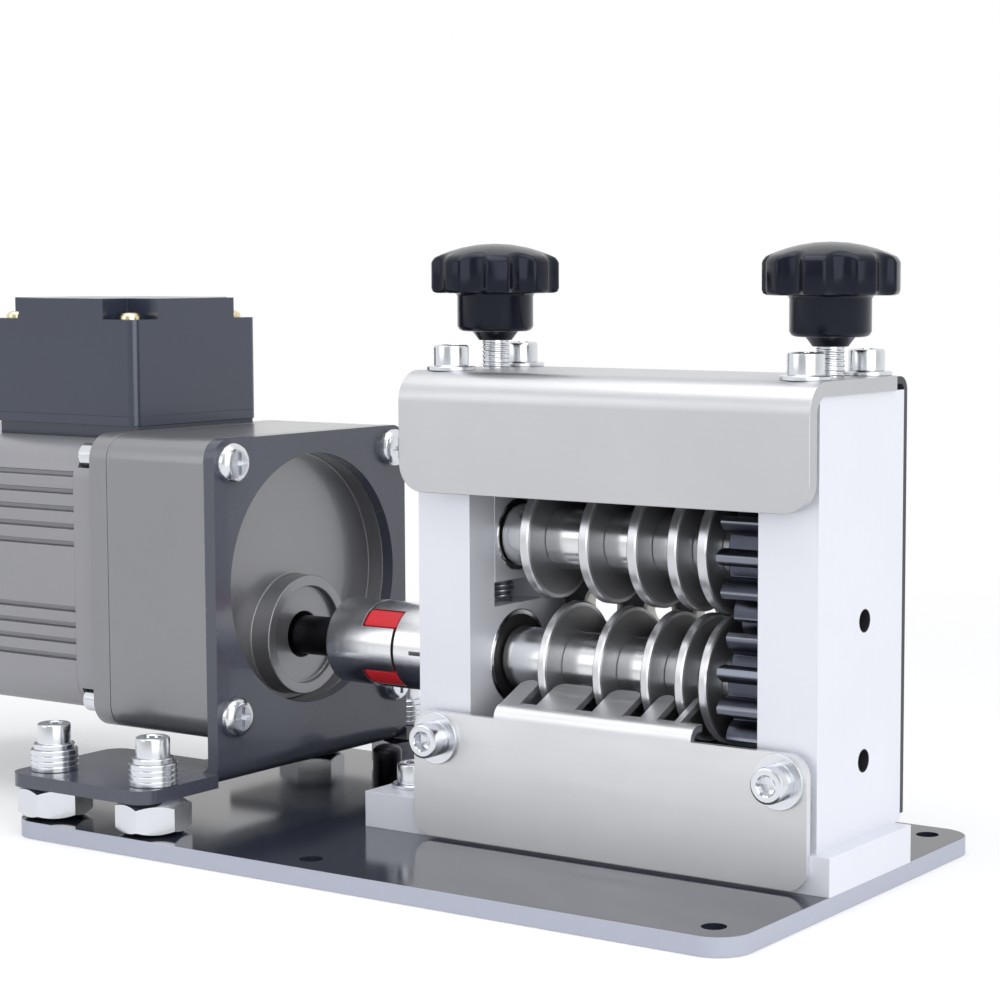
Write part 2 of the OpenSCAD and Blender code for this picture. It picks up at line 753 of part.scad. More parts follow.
// Coil spring as a swept tube, standing on z = 0
module coil(d, wire, turns, h) {
    sides = 8;
    steps = 12 * turns;
    ring_r = (d - wire) / 2;
    rise = h - wire;
    pts = [for (i = [0:steps], k = [0:sides - 1])
        let (a = 360 * i * turns / steps, b = 360 * k / sides, q = ring_r + wire / 2 * cos(b))
        [q * cos(a), q * sin(a), wire / 2 + rise * i / steps + wire / 2 * sin(b)]];
    quads = [for (i = [0:steps - 1], k = [0:sides - 1])
        let (p = i * sides + k, q = i * sides + (k + 1) % sides) [p, p + sides, q + sides, q]];
    start = [[for (k = [0:sides - 1]) k]];
    finish = [[for (k = [0:sides - 1]) (steps + 1) * sides - 1 - k]];
    polyhedron(pts, concat(quads, start, finish));
}

// Springs that lift the bearing blocks when the knobs are slackened
module lift_springs() color("#9ba0a8") {
    for (x = [inner_x0 - spring_mid, inner_x1 + spring_mid]) translate([x, shaft_y, slot_z0])
        coil(spring_d, spring_wire, spring_turns, block_z0 - slot_z0);
}

// Flat outline of the bracket's foot: two wings and the strip that joins them at the bend
module wing_outline() {
    bend_x = bracket_x1 - bracket_bend_r;
    difference() {
        union() {
            for (y = [base_y0, -base_y0 - wing_d]) translate([wing_x0, y])
                round_rect([wing_l, wing_d], wing_corner_r);
            translate([bend_x - 12, base_y0 + wing_d / 2]) square([12, base_w - wing_d]);
        }
        translate([bend_x, gearbox_y0 - 0.01]) square([bracket_bend_r + 1, gearbox_size + 0.02]);
    }
}

// Bent steel bracket that carries the gear motor
module motor_bracket() color("#4b4e5c") {
    bend_x = bracket_x1 - bracket_bend_r;
    bend_z = wing_z0 + bracket_bend_r;
    difference() {
        union() {
            translate([0, 0, wing_z0]) linear_extrude(bracket_t) wing_outline();
            along_x(bracket_x0, bracket_t) difference() {
                translate([gearbox_y0, bend_z]) square([gearbox_size, gearbox_z1 - bend_z]);
                for (s = [-1, 1]) translate([shaft_y + s * gearbox_size / 2, gearbox_z1])
                    mirror([s > 0 ? 1 : 0, 0]) mirror([0, 1]) corner_cut(gearbox_r - 2);
            }
            along_y(gearbox_y0, gearbox_size) intersection() {
                translate([bend_x, bend_z]) difference() {
                    circle(bracket_bend_r);
                    circle(bracket_bend_r - bracket_t);
                }
                translate([bend_x, wing_z0]) square(bracket_bend_r);
            }
        }
        bar_x(bracket_x0 - 1, bracket_t + 2, window_d, z = gear_cz);
        for (c = corners) bar_x(bracket_x0 - 1, bracket_t + 2, hole_d,
            shaft_y + c.x * gearbox_screw, gear_cz + c.y * gearbox_screw);
        for (x = wing_screw_x, y = wing_screw_y) translate([x, y, wing_z0 - 1])
            cylinder(h = bracket_t + 2, d = hole_d);
    }
}

// Large plain nuts that stand between the base plate and the bracket as spacers
module spacer_nuts() color("#d9dde3") {
    for (x = wing_screw_x, y = wing_screw_y) translate([x, y, base_t]) difference() {
        rotate(44) cylinder(h = nut_h, d = nut_af / cos(30), $fn = 6);
        translate([0, 0, -1]) cylinder(h = nut_h + 2, d = screw_d + 4);
    }
}

// Flat washers and a spring washer under each foot screw
module bracket_washers() color("#c9cdd3") {
    for (x = wing_screw_x, y = wing_screw_y) translate([x, y, wing_z1]) {
        for (i = [0:foot_washers - 1]) translate([0, 0, i * foot_washer_t])
            washer(washer_d, hole_d, foot_washer_t);
        translate([0, 0, foot_washers * foot_washer_t]) washer(washer_d - 2.4, hole_d, spring_washer_t);
    }
}

// Socket screws that pass through the bracket and the nuts into the base plate
module bracket_screws() color("#cfc9c2") {
    for (x = wing_screw_x, y = wing_screw_y) translate([x, y, wing_z1 + foot_stack])
        socket_screw(screw_d, foot_stack + bracket_t + nut_h + base_t - 0.5);
}

// Pan head screws through bracket and gearbox, with round end nuts behind the gearbox
module gearbox_screws() color("#d3d7dc") {
    for (c = corners) translate([0, shaft_y + c.x * gearbox_screw, gear_cz + c.y * gearbox_screw]) {
        translate([bracket_x1, 0, 0]) rotate([0, 90, 0])
            pan_screw(screw_d - 1, screw_d * 2, bracket_x1 - rear_plate_x0 + bolt_end_l - 1);
        translate([rear_plate_x0 - bolt_end_l, 0, 0]) rotate([0, 90, 0])
            washer(bolt_end_d, screw_d - 1 + 2 * seat_gap, bolt_end_l);
    }
}

// Cast gearbox housing: round recess and output boss in front, gear chamber behind
module gearbox_housing() color("#8c8d90") {
    difference() {
        along_x(gearbox_x0, gearbox_l) translate([gearbox_y0, gearbox_z0])
            round_rect([gearbox_size, gearbox_size], gearbox_r);
        bar_x(recess_x0, recess_depth + 1, window_d, z = gear_cz);
        along_x(gearbox_x0 - 1, cavity_x1 - gearbox_x0 + 1) difference() {
            translate([gearbox_y0 + gearbox_wall, gearbox_z0 + gearbox_wall])
                square(gearbox_size - 2 * gearbox_wall);
            for (c = corners) translate([shaft_y + c.x * gearbox_screw, gear_cz + c.y * gearbox_screw])
                circle(screw_d);
        }
        gearbox_bores();
    }
    difference() {
        bar_x(recess_x0 - 0.01, boss_h, boss_d);
        bar_x(recess_x0 + boss_h - boss_lip, boss_lip + 1, boss_d - 7);
        gearbox_bores();
    }
}

// Bores in the front wall of the gearbox housing
module gearbox_bores() {
    bar_x(cavity_x1 - 1, lower_bearing_w + 1, lower_bearing_d + 2 * seat_gap);
    bar_x(cavity_x1, bracket_x1 - cavity_x1, shaft_d + 2);
    bar_x(cavity_x1 - 1, small_bearing_w + 1, small_bearing_d + 2 * seat_gap, lay_y, lay_z);
    for (c = corners) bar_x(gearbox_x0 - 1, gearbox_l + 2, screw_d - 1 + 2 * seat_gap,
        shaft_y + c.x * gearbox_screw, gear_cz + c.y * gearbox_screw);
}

// Plate that closes the gear chamber towards the motor and carries the inner bearings
module gearbox_rear_plate() color("#7c7d81") {
    difference() {
        along_x(rear_plate_x0, rear_plate_t) translate([gearbox_y0, gearbox_z0])
            round_rect([gearbox_size, gearbox_size], gearbox_r);
        bar_x(gearbox_x0 - thin_bearing_w, thin_bearing_w + 1, thin_bearing_d + 2 * seat_gap);
        bar_x(gearbox_x0 - small_bearing_w, small_bearing_w + 1, small_bearing_d + 2 * seat_gap,
            lay_y, lay_z);
        bar_x(rear_plate_x0 - 1, rear_plate_t + 2, motor_shaft_d + 1.2, z = gear_cz);
        tie_holes(rear_plate_x0 - 1, tie_grip + 1, tie_d + 2 * seat_gap);
        for (c = corners) bar_x(rear_plate_x0 - 1, rear_plate_t + 2, screw_d - 1 + 2 * seat_gap,
            shaft_y + c.x * gearbox_screw, gear_cz + c.y * gearbox_screw);
    }
}

// Ball bearings of the output shaft, the layshaft and the rotor
module gear_motor_bearings() color("#c4c8cf") {
    for (x = [front_shield_x, motor_x0 - motor_bearing_w])
        ring_x(x, motor_bearing_w, motor_bearing_d, motor_shaft_d + 2 * run_gap, z = gear_cz);
    ring_x(cavity_x1, lower_bearing_w, lower_bearing_d, shaft_d + 2 * run_gap);
    ring_x(gearbox_x0 - thin_bearing_w, thin_bearing_w, thin_bearing_d, shaft_d + 2 * run_gap);
    for (x = [cavity_x1, gearbox_x0 - small_bearing_w])
        ring_x(x, small_bearing_w, small_bearing_d, lay_d + 2 * run_gap, lay_y, lay_z);
}

// Output shaft of the gearbox, up to the coupling
module output_shaft() color("#2b2c36") {
    bar_x(gearbox_x0 - thin_bearing_w, coupling_x0 + hub_l - gearbox_x0 + thin_bearing_w, shaft_d);
}

// Large gear on the output shaft
module output_gear() color("#a9adb5") {
    gear_x(second_stage_x, second_stage_w, coarse_m, out_gear_z, shaft_d + 2 * seat_gap,
        shaft_y, drive_z);
}

// Layshaft with the pinion cut on it, turned so that its teeth lie in the output gear's gaps
lay_angle = atan2(lay_dz, lay_dy);
module layshaft() color("#aeb2ba") {
    bar_x(gearbox_x0 - small_bearing_w, cavity_x1 + 2 * small_bearing_w - gearbox_x0, lay_d,
        lay_y, lay_z);
    translate([0, lay_y, lay_z]) along_x(second_stage_x, second_stage_w)
        gear_outline(coarse_m, lay_pinion_z,
            mesh_turn(0, out_gear_z, lay_pinion_z, lay_angle));
}

// Angle of a gear that meshes with another whose first tooth stands at turn,
// when the line from the other's centre to this one's stands at the angle line
function mesh_turn(turn, z_other, z_own, line) =
    line + 180 + 180 / z_own + (line - turn) * z_other / z_own;

// Large gear on the layshaft, driven by the motor pinion
motor_line = atan2(gear_cz - lay_z, shaft_y - lay_y);
module layshaft_gear() color("#a4a8b0") {
    gear_x(first_stage_x, first_stage_w, fine_m, lay_gear_z, lay_d + 2 * seat_gap, lay_y, lay_z);
}

// Rotor shaft: bearings and fan at one end, the motor pinion at the other
module motor_shaft() color("#b4b8bf") {
    x0 = rear_shield_x - fan_gap - fan_w;
    bar_x(x0, first_stage_x - x0, motor_shaft_d, z = gear_cz);
    translate([0, shaft_y, gear_cz]) along_x(first_stage_x - 0.01, first_stage_w)
        gear_outline(fine_m, pinion_z, mesh_turn(0, lay_gear_z, pinion_z, motor_line));
}

// Rotor core on the motor shaft
module rotor_core() color("#8a8780") {
    ring_x(stator_x0, stator_l, rotor_d, motor_shaft_d + 2 * seat_gap, z = gear_cz);
}

// Cooling fan with radial blades
module cooling_fan() color("#3c3e45") {
    translate([0, shaft_y, gear_cz]) along_x(rear_shield_x - fan_gap - fan_w, fan_w) difference() {
        union() {
            circle(d = 18);
            for (a = [0:60:300]) rotate(a) translate([7, -1]) square([fan_d / 2 - 7, 2]);
        }
        circle(d = motor_shaft_d + 2 * seat_gap);
    }
}

// Square motor outline with round corners
module motor_outline(size = motor_size) {
    translate([shaft_y - size / 2, gear_cz - size / 2]) round_rect([size, size], motor_r);
}

// Pockets that the end nuts of the gearbox screws stand in
module bolt_pockets(x) {
    for (c = corners) bar_x(x, bolt_end_l + 1.5, bolt_pocket_d,
        shaft_y + c.x * gearbox_screw, gear_cz + c.y * gearbox_screw);
}

// Front end shield of the motor, with its bearing seat
module motor_front_shield() color("#a3a5ab") {
    difference() {
        along_x(front_shield_x, shield_t) motor_outline();
        bar_x(front_shield_x - 1, motor_bearing_w + 1, motor_bearing_d + 2 * seat_gap, z = gear_cz);
        bar_x(front_shield_x, shield_t + 1, motor_shaft_d + 2, z = gear_cz);
        bolt_pockets(rear_plate_x0 - bolt_end_l - 0.5);
        tie_holes(front_shield_x - 1, shield_t + 2, tie_d + 0.4);
    }
}

// Extruded motor housing: ribbed front and back, bored for the stator
module motor_housing() color("#a9aab2") {
    difference() {
        along_x(motor_x0, motor_l) motor_outline();
        bar_x(motor_x0 - 1, motor_l + 2, motor_bore + 2 * seat_gap, z = gear_cz);
        tie_holes(motor_x0 - 1, motor_l + 2, tie_d + 0.4);
        for (z = concat(upper_grooves, lower_grooves), s = [-1, 1])
            translate([motor_x0 - 1, shaft_y + s * (motor_size / 2 - groove_depth / 2) - groove_depth / 2,
                z - groove_w / 2]) cube([motor_l + 2, groove_depth + (s > 0 ? 1 : 0), groove_w]);
    }
}

// Rear end shield of the motor
module motor_rear_shield() color("#a3a5ab") {
    difference() {
        along_x(rear_shield_x, shield_t) motor_outline();
        bar_x(motor_x0 - motor_bearing_w, motor_bearing_w + 1, motor_bearing_d + 2 * seat_gap,
            z = gear_cz);
        bar_x(rear_shield_x - 1, shield_t + 1, motor_shaft_d + 2, z = gear_cz);
        tie_holes(rear_shield_x - 1, shield_t + 2, tie_d + 0.4);
    }
}

// Vented cover over the fan
module fan_cover() color("#4a4c55") {
    difference() {
        along_x(fan_cover_x, fan_cover_l) motor_outline(motor_size - 2);
        bar_x(fan_cover_x + fan_wall, fan_cover_l, fan_d + 6, z = gear_cz);
        tie_holes(fan_cover_x - 1, fan_cover_l + 2, tie_d + 0.4);
        for (r = [10:7:31]) difference() {
            bar_x(fan_cover_x - 1, fan_wall + 2, 2 * r + vent_w, z = gear_cz);
            bar_x(fan_cover_x - 2, fan_wall + 4, 2 * r - vent_w, z = gear_cz);
            for (a = [0:60:300]) translate([fan_cover_x - 2, shaft_y, gear_cz]) rotate([a, 0, 0])
                translate([0, -1.5, 0]) cube([fan_wall + 4, 3, 40]);
        }
    }
}

// Long screws through the fan cover, both shields and the housing into the gearbox rear plate
module tie_screws() color("#d3d7dc") {
    for (c = corners) translate([fan_cover_x, shaft_y + c.x * tie_reach, gear_cz + c.y * tie_reach])
        rotate([0, -90, 0]) pan_screw(tie_d, tie_d * 2, rear_plate_x0 - fan_cover_x + tie_grip - 0.5);
}

// Holes for the tie screws
module tie_holes(x, l, d) {
    for (c = corners) bar_x(x, l, d, shaft_y + c.x * tie_reach, gear_cz + c.y * tie_reach);
}

// Black stud with a round head that stands behind the coupling
module black_stud() color("#17181c") {
    translate([stud_x, stud_y, base_t]) {
        cylinder(h = stud_h - stud_d / 4, d = stud_d);
        translate([0, 0, stud_h - stud_d / 4]) rotate_extrude() intersection() {
            scale([1, 0.5]) circle(stud_d / 2);
            square(stud_d);
        }
        translate([0, 0, -base_t + 0.5]) cylinder(h = base_t, d = stud_thread_d);
    }
}

// Laminated stator core in the housing
module stator_core() color("#777a80") {
    ring_x(stator_x0, stator_l, motor_bore, rotor_d + 1.2, z = gear_cz);
}

// Copper end windings on both sides of the stator core
module stator_windings() color("#b5673a") {
    for (x = [stator_x0 - winding_l, stator_x0 + stator_l])
        ring_x(x, winding_l, motor_bore - 5, rotor_d + 6, z = gear_cz);
}

// Base of the terminal box, on a raised pad of the motor
module terminal_base() color("#3a3d49") {
    translate([box_x0, box_y0, box_z0]) linear_extrude(box_base_t) round_rect([box_l, box_d], box_r);
    translate([box_x0 + box_pad_inset, box_mid_y - box_pad_w / 2, box_seat_z])
        cube([rear_plate_x0 - box_x0 - box_pad_inset - box_pad_end, box_pad_w, box_lift]);
    for (x = lid_post_x, y = lid_post_y) translate([x, y, box_z0 + box_base_t]) difference() {
        cylinder(h = lid_floor_z - box_z0 - box_base_t - box_wall, d = lid_post_d);
        translate([0, 0, 2]) cylinder(h = box_h, d = 3 + 2 * seat_gap);
    }
}
lid_floor_z = box_z1 - lid_recess.z;
lid_post_x = [box_x0 + lid_screw.x, box_x1 - lid_screw.x];
lid_post_y = [box_y0 + lid_screw.y, box_y0 + box_d - lid_screw.y];

// Deep cover of the terminal box, with a stepped corner for each of its screws
module terminal_cover() color("#484c5a") {
    h = box_h - box_base_t;
    difference() {
        translate([box_x0, box_y0, box_z0 + box_base_t]) linear_extrude(h)
            round_rect([box_l, box_d], box_r);
        difference() {
            translate([box_x0 + box_wall, box_y0 + box_wall, box_z0 + box_base_t - 1])
                cube([box_l - 2 * box_wall, box_d - 2 * box_wall, h - box_wall + 1]);
            for (sx = [0, 1], sy = [0, 1])
                translate([sx * (box_l - lid_recess.x - box_wall) + box_x0,
                    sy * (box_d - lid_recess.y - box_wall) + box_y0, lid_floor_z - box_wall])
                    cube([lid_recess.x + box_wall, lid_recess.y + box_wall, lid_recess.z + box_wall + 1]);
        }
        for (sx = [0, 1], sy = [0, 1])
            translate([box_x0 + sx * (box_l - lid_recess.x + 1) - 1,
                box_y0 + sy * (box_d - lid_recess.y + 1) - 1, lid_floor_z])
                cube([lid_recess.x + 1, lid_recess.y + 1, lid_recess.z + 1]);
        for (x = lid_post_x, y = lid_post_y) translate([x, y, lid_floor_z - box_wall - 1])
            cylinder(h = box_wall + 2, d = 3.6);
        translate([box_x0 - 1, box_mid_y, gland_z]) rotate([0, 90, 0])
            cylinder(h = box_wall + 2, d = gland_hole_d + 2 * seat_gap);
    }
}

// Screws in the stepped corners of the terminal cover
module terminal_cover_screws() color("#d2c7a0") {
    for (x = lid_post_x, y = lid_post_y) translate([x, y, lid_floor_z]) pan_screw(3, 6.5, box_wall + 10);
}

// Row of wire clamps inside the terminal box
module terminal_block() color("#e3e0d6") {
    for (i = [0:3]) translate([box_x0 + 16 + i * 8, box_mid_y - 7, box_z0 + box_base_t]) difference() {
        cube([7.5, 14, 11]);
        translate([3.75, 7, 5]) cylinder(h = 7, d = 4);
        translate([3.75, -1, 4]) rotate([-90, 0, 0]) cylinder(h = 16, d = 3);
    }
}

// Cable gland on the left end of the terminal box
module cable_gland() color("#2c2d33") {
    translate([box_x0, box_mid_y, gland_z]) rotate([0, -90, 0]) difference() {
        union() {
            translate([0, 0, -box_wall - 2]) cylinder(h = box_wall + 3, d = gland_hole_d);
            cylinder(h = 5, d = gland_d / cos(30), $fn = 6);
            translate([0, 0, 5]) cylinder(h = 9, d1 = gland_d, d2 = gland_d - 4);
        }
        translate([0, 0, -20]) cylinder(h = 40, d = 7);
    }
}

// One coupling hub with two jaws, drawn with the jaws towards +X from x = 0
jaw_span = 60;
star_bore = 10;
module coupling_hub(bore) {
    difference() {
        union() {
            rotate([0, 90, 0]) cylinder(h = hub_l, d = coupling_d);
            for (a = [0, 180]) rotate([a, 0, 0]) jaw();
        }
        translate([-1, 0, 0]) rotate([0, 90, 0]) cylinder(h = hub_l + 2, d = bore);
        translate([-1, -0.6, 0]) cube([hub_l * 0.62, 1.2, coupling_d]);
    }
}

// Sector of a ring that forms one jaw
module jaw() {
    intersection() {
        translate([hub_l - 0.01, 0, 0]) rotate([0, 90, 0]) difference() {
            cylinder(h = star_l - 1, d = coupling_d);
            translate([0, 0, -1]) cylinder(h = star_l + 2, d = star_bore + 3);
        }
        along_x(0, hub_l + star_l) sector(jaw_span, coupling_d);
    }
}

// Flat sector about the +Y direction
module sector(span, r) {
    polygon([[0, 0], [r * cos(span / 2), -r * sin(span / 2)], [r * cos(span / 2), r * sin(span / 2)]]);
}

// Hub on the gearbox shaft
module coupling_hub_motor() color("#dfe2e8") {
    translate([coupling_x0, shaft_y, drive_z]) coupling_hub(shaft_d + 2 * seat_gap);
}

// Hub on the lower shaft, turned a quarter so that its jaws lie between the others
module coupling_hub_drive() color("#dfe2e8") {
    translate([coupling_x1, shaft_y, drive_z]) mirror([1, 0, 0]) rotate([90, 0, 0])
        coupling_hub(shaft_d + 2 * seat_gap);
}

// Elastic star with four arms between the jaws
arm_span = 26;
module coupling_star() color("#c8202c") {
    translate([0, shaft_y, drive_z]) along_x(coupling_x0 + hub_l + 0.5, star_l - 1) difference() {
        union() {
            circle(d = star_bore + 2);
            intersection() {
                circle(d = coupling_d - 0.2);
                for (a = [45:90:315]) rotate(a) sector(arm_span, coupling_d);
            }
        }
        circle(d = 4);
    }
}

// Lower shaft, from the coupling to the right bearing
module lower_shaft() color("#b7bbc2") {
    bar_x(coupling_x1 - hub_l, inner_x1 + lower_bearing_w - coupling_x1 + hub_l, shaft_d);
}

// Feed discs on the lower shaft
module feed_discs() color("#cfd3d9") {
    for (x = feed_x) disc(x, feed_t, drive_z);
}

// Disc on a shaft, with a narrow bevel on both edges
module disc(x, t, z) {
    bevel = 0.4;
    translate([x, shaft_y, z]) rotate([0, 90, 0]) rotate_extrude($fn = 96) polygon([
        [shaft_d / 2 + seat_gap, 0], [disc_d / 2 - bevel, 0], [disc_d / 2, bevel],
        [disc_d / 2, t - bevel], [disc_d / 2 - bevel, t], [shaft_d / 2 + seat_gap, t]]);
}

// Sleeves that hold a row of discs apart, from one end stop to the other
module sleeves(faces, t, z, x0, x1) {
    starts = concat([x0], [for (f = faces) f + t]);
    ends = concat(faces, [x1]);
    for (i = [0:len(faces)]) ring_x(starts[i], ends[i] - starts[i], sleeve_d,
        shaft_d + 2 * seat_gap, z = z);
}
module lower_sleeves() color("#c3c7ce") {
    sleeves(feed_x, feed_t, drive_z, inner_x0 + end_gap, gear_x);
}

// Driving spur gear, with a tooth gap straight up
module lower_gear() color("#33343d") {
    gear_x(gear_x, gear_w, gear_m, gear_z, shaft_d + 2 * seat_gap, shaft_y, drive_z,
        90 + 180 / gear_z);
}

// Sliding bearing block of the upper shaft, drawn for the left side plate
module bearing_block() {
    x0 = inner_x0 - block_l;
    difference() {
        translate([x0, shaft_y - slot_w / 2 + slide_gap, block_z0])
            cube([block_l, slot_w - 2 * slide_gap, block_h]);
        bar_x(inner_x0 - upper_bearing_w, upper_bearing_w + 1, upper_bearing_d + 2 * seat_gap,
            z = cutter_z);
        bar_x(x0 + 2, block_l, shaft_d + 2, z = cutter_z);
    }
}
module bearing_block_left() color("#9c9fa6") bearing_block();
module bearing_block_right() color("#9c9fa6")
    translate([unit_x0 + unit_x1, 0, 0]) mirror([1, 0, 0]) bearing_block();

// Ball bearings in the sliding blocks
module upper_bearings() color("#c4c8cf") {
    for (x = [inner_x0 - upper_bearing_w, inner_x1])
        ring_x(x, upper_bearing_w, upper_bearing_d, shaft_d + 2 * run_gap, z = cutter_z);
}

// Upper shaft with its ends in the blocks
shaft_end = 3;
module upper_shaft() color("#b7bbc2") {
    x0 = inner_x0 - upper_bearing_w - shaft_end;
    bar_x(x0, inner_x1 + upper_bearing_w + shaft_end - x0, shaft_d, z = cutter_z);
}

// Cutting discs on the upper shaft
module cutting_discs() color("#cdd1d7") {
    for (x = blade_x) disc(x, blade_t, cutter_z);
}
module upper_sleeves() color("#c9cdd4") {
    sleeves(blade_x, blade_t, cutter_z, inner_x0 + end_gap, gear_x);
}

// Driven spur gear, with a tooth straight down in the lower gear's gap
module upper_gear() color("#33343d") {
    gear_x(gear_x, gear_w, gear_m, gear_z, shaft_d + 2 * seat_gap, shaft_y, cutter_z, 90);
}

// Outline of a knob's lobes: a circle with a round valley between each lobe and the next
module lobe_outline(turn) {
    rotate(turn) difference() {
        circle(knob_d / 2);
        for (i = [0:knob_lobes - 1]) rotate(i * 360 / knob_lobes)
            translate([knob_d / 2 + valley_r - valley_depth, 0]) circle(valley_r);
    }
}

// Lobed knob moulded on its pressure screw, with a domed top
module knob(x, turn) {
    translate([x, shaft_y, 0]) {
        translate([0, 0, press_z0]) cylinder(h = rim_z - press_z0, d = press_d);
        translate([0, 0, knob_z0]) cylinder(h = collar_h + 0.1, d1 = collar_d, d2 = collar_d + 3.5);
        translate([0, 0, neck_z]) cylinder(h = knob_neck_h + 1, d = knob_neck_d);
        translate([0, 0, rim_z]) linear_extrude(knob_rim_h) lobe_outline(turn);
        translate([0, 0, dome_z]) intersection() {
            rotate_extrude() intersection() {
                translate([0, dome_h - dome_r]) circle(dome_r, $fn = 128);
                square([knob_d / 2 - 1, dome_h + 1]);
            }
            linear_extrude(dome_h + 1) lobe_outline(turn);
        }
    }
}
module knob_left() color("#23242b") knob(press_x[0], -74);
module knob_right() color("#23242b") knob(press_x[1], -53);

base_plate();
foot_bar();
foot_screws();
side_plate_left();
side_plate_right();
side_plate_screws();
upper_cover();
upper_cover_screws();
lower_cover();
lower_cover_screws();
lower_cover_washers();
rear_guide_plate();
rear_guide_screws();
guide_bushes();
lower_bearings();
lift_springs();
motor_bracket();
spacer_nuts();
bracket_screws();
bracket_washers();
gearbox_screws();
gearbox_housing();
gearbox_rear_plate();
gear_motor_bearings();
motor_front_shield();
motor_housing();
motor_rear_shield();
fan_cover();
tie_screws();
black_stud();
stator_core();
stator_windings();
terminal_base();
terminal_cover();
terminal_cover_screws();
terminal_block();
cable_gland();
output_shaft();
output_gear();
coupling_hub_motor();
coupling_star();
coupling_hub_drive();
lower_shaft();
feed_discs();
lower_sleeves();
lower_gear();
layshaft();
layshaft_gear();
motor_shaft();
rotor_core();
cooling_fan();
bearing_block_left();
bearing_block_right();
upper_bearings();
upper_shaft();
cutting_discs();
upper_sleeves();
upper_gear();
knob_left();
knob_right();
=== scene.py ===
import json
import math

import bmesh
import bpy
from mathutils import Matrix, Vector

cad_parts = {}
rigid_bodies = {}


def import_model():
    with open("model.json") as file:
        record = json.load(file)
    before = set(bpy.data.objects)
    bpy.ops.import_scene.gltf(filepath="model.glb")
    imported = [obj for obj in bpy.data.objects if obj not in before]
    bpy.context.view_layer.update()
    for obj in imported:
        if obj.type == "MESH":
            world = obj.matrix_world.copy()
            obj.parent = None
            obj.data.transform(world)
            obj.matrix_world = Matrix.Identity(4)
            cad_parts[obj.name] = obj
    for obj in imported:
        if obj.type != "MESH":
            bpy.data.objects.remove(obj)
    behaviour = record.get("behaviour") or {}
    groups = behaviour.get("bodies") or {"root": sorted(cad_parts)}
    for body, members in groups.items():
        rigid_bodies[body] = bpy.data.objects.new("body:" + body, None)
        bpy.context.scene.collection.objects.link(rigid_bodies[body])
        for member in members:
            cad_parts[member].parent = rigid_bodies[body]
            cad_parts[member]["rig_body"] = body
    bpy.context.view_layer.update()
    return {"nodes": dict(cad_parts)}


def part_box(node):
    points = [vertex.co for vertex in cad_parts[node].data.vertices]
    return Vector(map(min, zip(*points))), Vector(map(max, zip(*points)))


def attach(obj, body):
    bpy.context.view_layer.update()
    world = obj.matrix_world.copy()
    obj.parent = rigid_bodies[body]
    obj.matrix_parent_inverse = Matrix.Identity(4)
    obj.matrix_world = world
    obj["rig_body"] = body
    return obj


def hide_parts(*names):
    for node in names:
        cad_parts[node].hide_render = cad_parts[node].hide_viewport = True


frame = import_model()
nodes = frame["nodes"]

# Camera: a long lens from the front right, a little above the covers, as the picture was taken.
camera_data = bpy.data.cameras.new("camera")
camera_data.sensor_width = 36
camera_data.lens = 89.35
camera_data.shift_x = -0.12
camera_data.clip_start = 0.05
camera_data.clip_end = 50
camera = bpy.data.objects.new("camera", camera_data)
bpy.context.scene.collection.objects.link(camera)
camera.location = (0.3752, -0.5794, 0.1681)
camera.rotation_euler = (math.radians(90 - 5.35), 0, math.radians(33.06))
bpy.context.scene.camera = camera
bpy.context.scene.view_settings.view_transform = "Standard"


def add_lamp(name, place, target, size, power, colour=(1, 1, 1)):
    """A square soft box at place that faces target."""
    lamp_data = bpy.data.lights.new(name, "AREA")
    lamp_data.shape = "RECTANGLE"
    lamp_data.size, lamp_data.size_y = size
    lamp_data.energy = power
    lamp_data.color = colour
    lamp = bpy.data.objects.new(name, lamp_data)
    bpy.context.scene.collection.objects.link(lamp)
    lamp.location = place
    lamp.rotation_euler = (Vector(target) - Vector(place)).to_track_quat("-Z", "Y").to_euler()
    return lamp


def add_node(tree, kind, feeds=None, **settings):
    """Adds a node to a tree. A feed is a value for that input, or the output that is linked to it."""
    added = tree.nodes.new(kind)
    for setting, value in settings.items():
        setattr(added, setting, value)
    for socket, value in (feeds or {}).items():
        if isinstance(value, bpy.types.NodeSocket):
            tree.links.new(value, added.inputs[socket])
        else:
            added.inputs[socket].default_value = value
    return added


# Studio: a big soft box above, one on the right and a weaker one on the left, in a pale room that
# is brightest behind and above the machine, so that bare metal shows bands.
MIDDLE = (-0.08, 0, 0.08)
add_lamp("lamp_top", (-0.1, -0.2, 1.2), MIDDLE, (1.3, 1.0), 7.5)
add_lamp("lamp_right", (1.15, -0.7, 0.6), MIDDLE, (1.4, 1.4), 11.5, (1.0, 0.99, 0.97))
add_lamp("lamp_front", (-0.75, -1.2, 0.55), MIDDLE, (0.9, 0.7), 2.0, (0.97, 0.98, 1.0))

world = bpy.data.worlds.new("room")
bpy.context.scene.world = world
world.use_nodes = True
room = world.node_tree
room.nodes.clear()
BRIGHT_WALL = (-0.40, 0.62, 0.67)
LIT_SIDE = (0.75, -0.05, 0.65)
ray = add_node(room, "ShaderNodeLightPath").outputs
way = add_node(room, "ShaderNodeTexCoord").outputs["Generated"]
behind = add_node(room, "ShaderNodeVectorMath", {0: way, 1: BRIGHT_WALL}, operation="DOT_PRODUCT")
wall = add_node(room, "ShaderNodeMapRange", {
    "Value": behind.outputs["Value"], "From Min": -0.60, "From Max": 0.45, "To Min": 0.58, "To Max": 1.0,
}, interpolation_type="SMOOTHSTEP")
beside = add_node(room, "ShaderNodeVectorMath", {0: way, 1: LIT_SIDE}, operation="DOT_PRODUCT")
fill = add_node(room, "ShaderNodeMapRange", {
    "Value": beside.outputs["Value"], "From Min": -0.8, "From Max": 0.8, "To Min": 0.32, "To Max": 0.74,
})
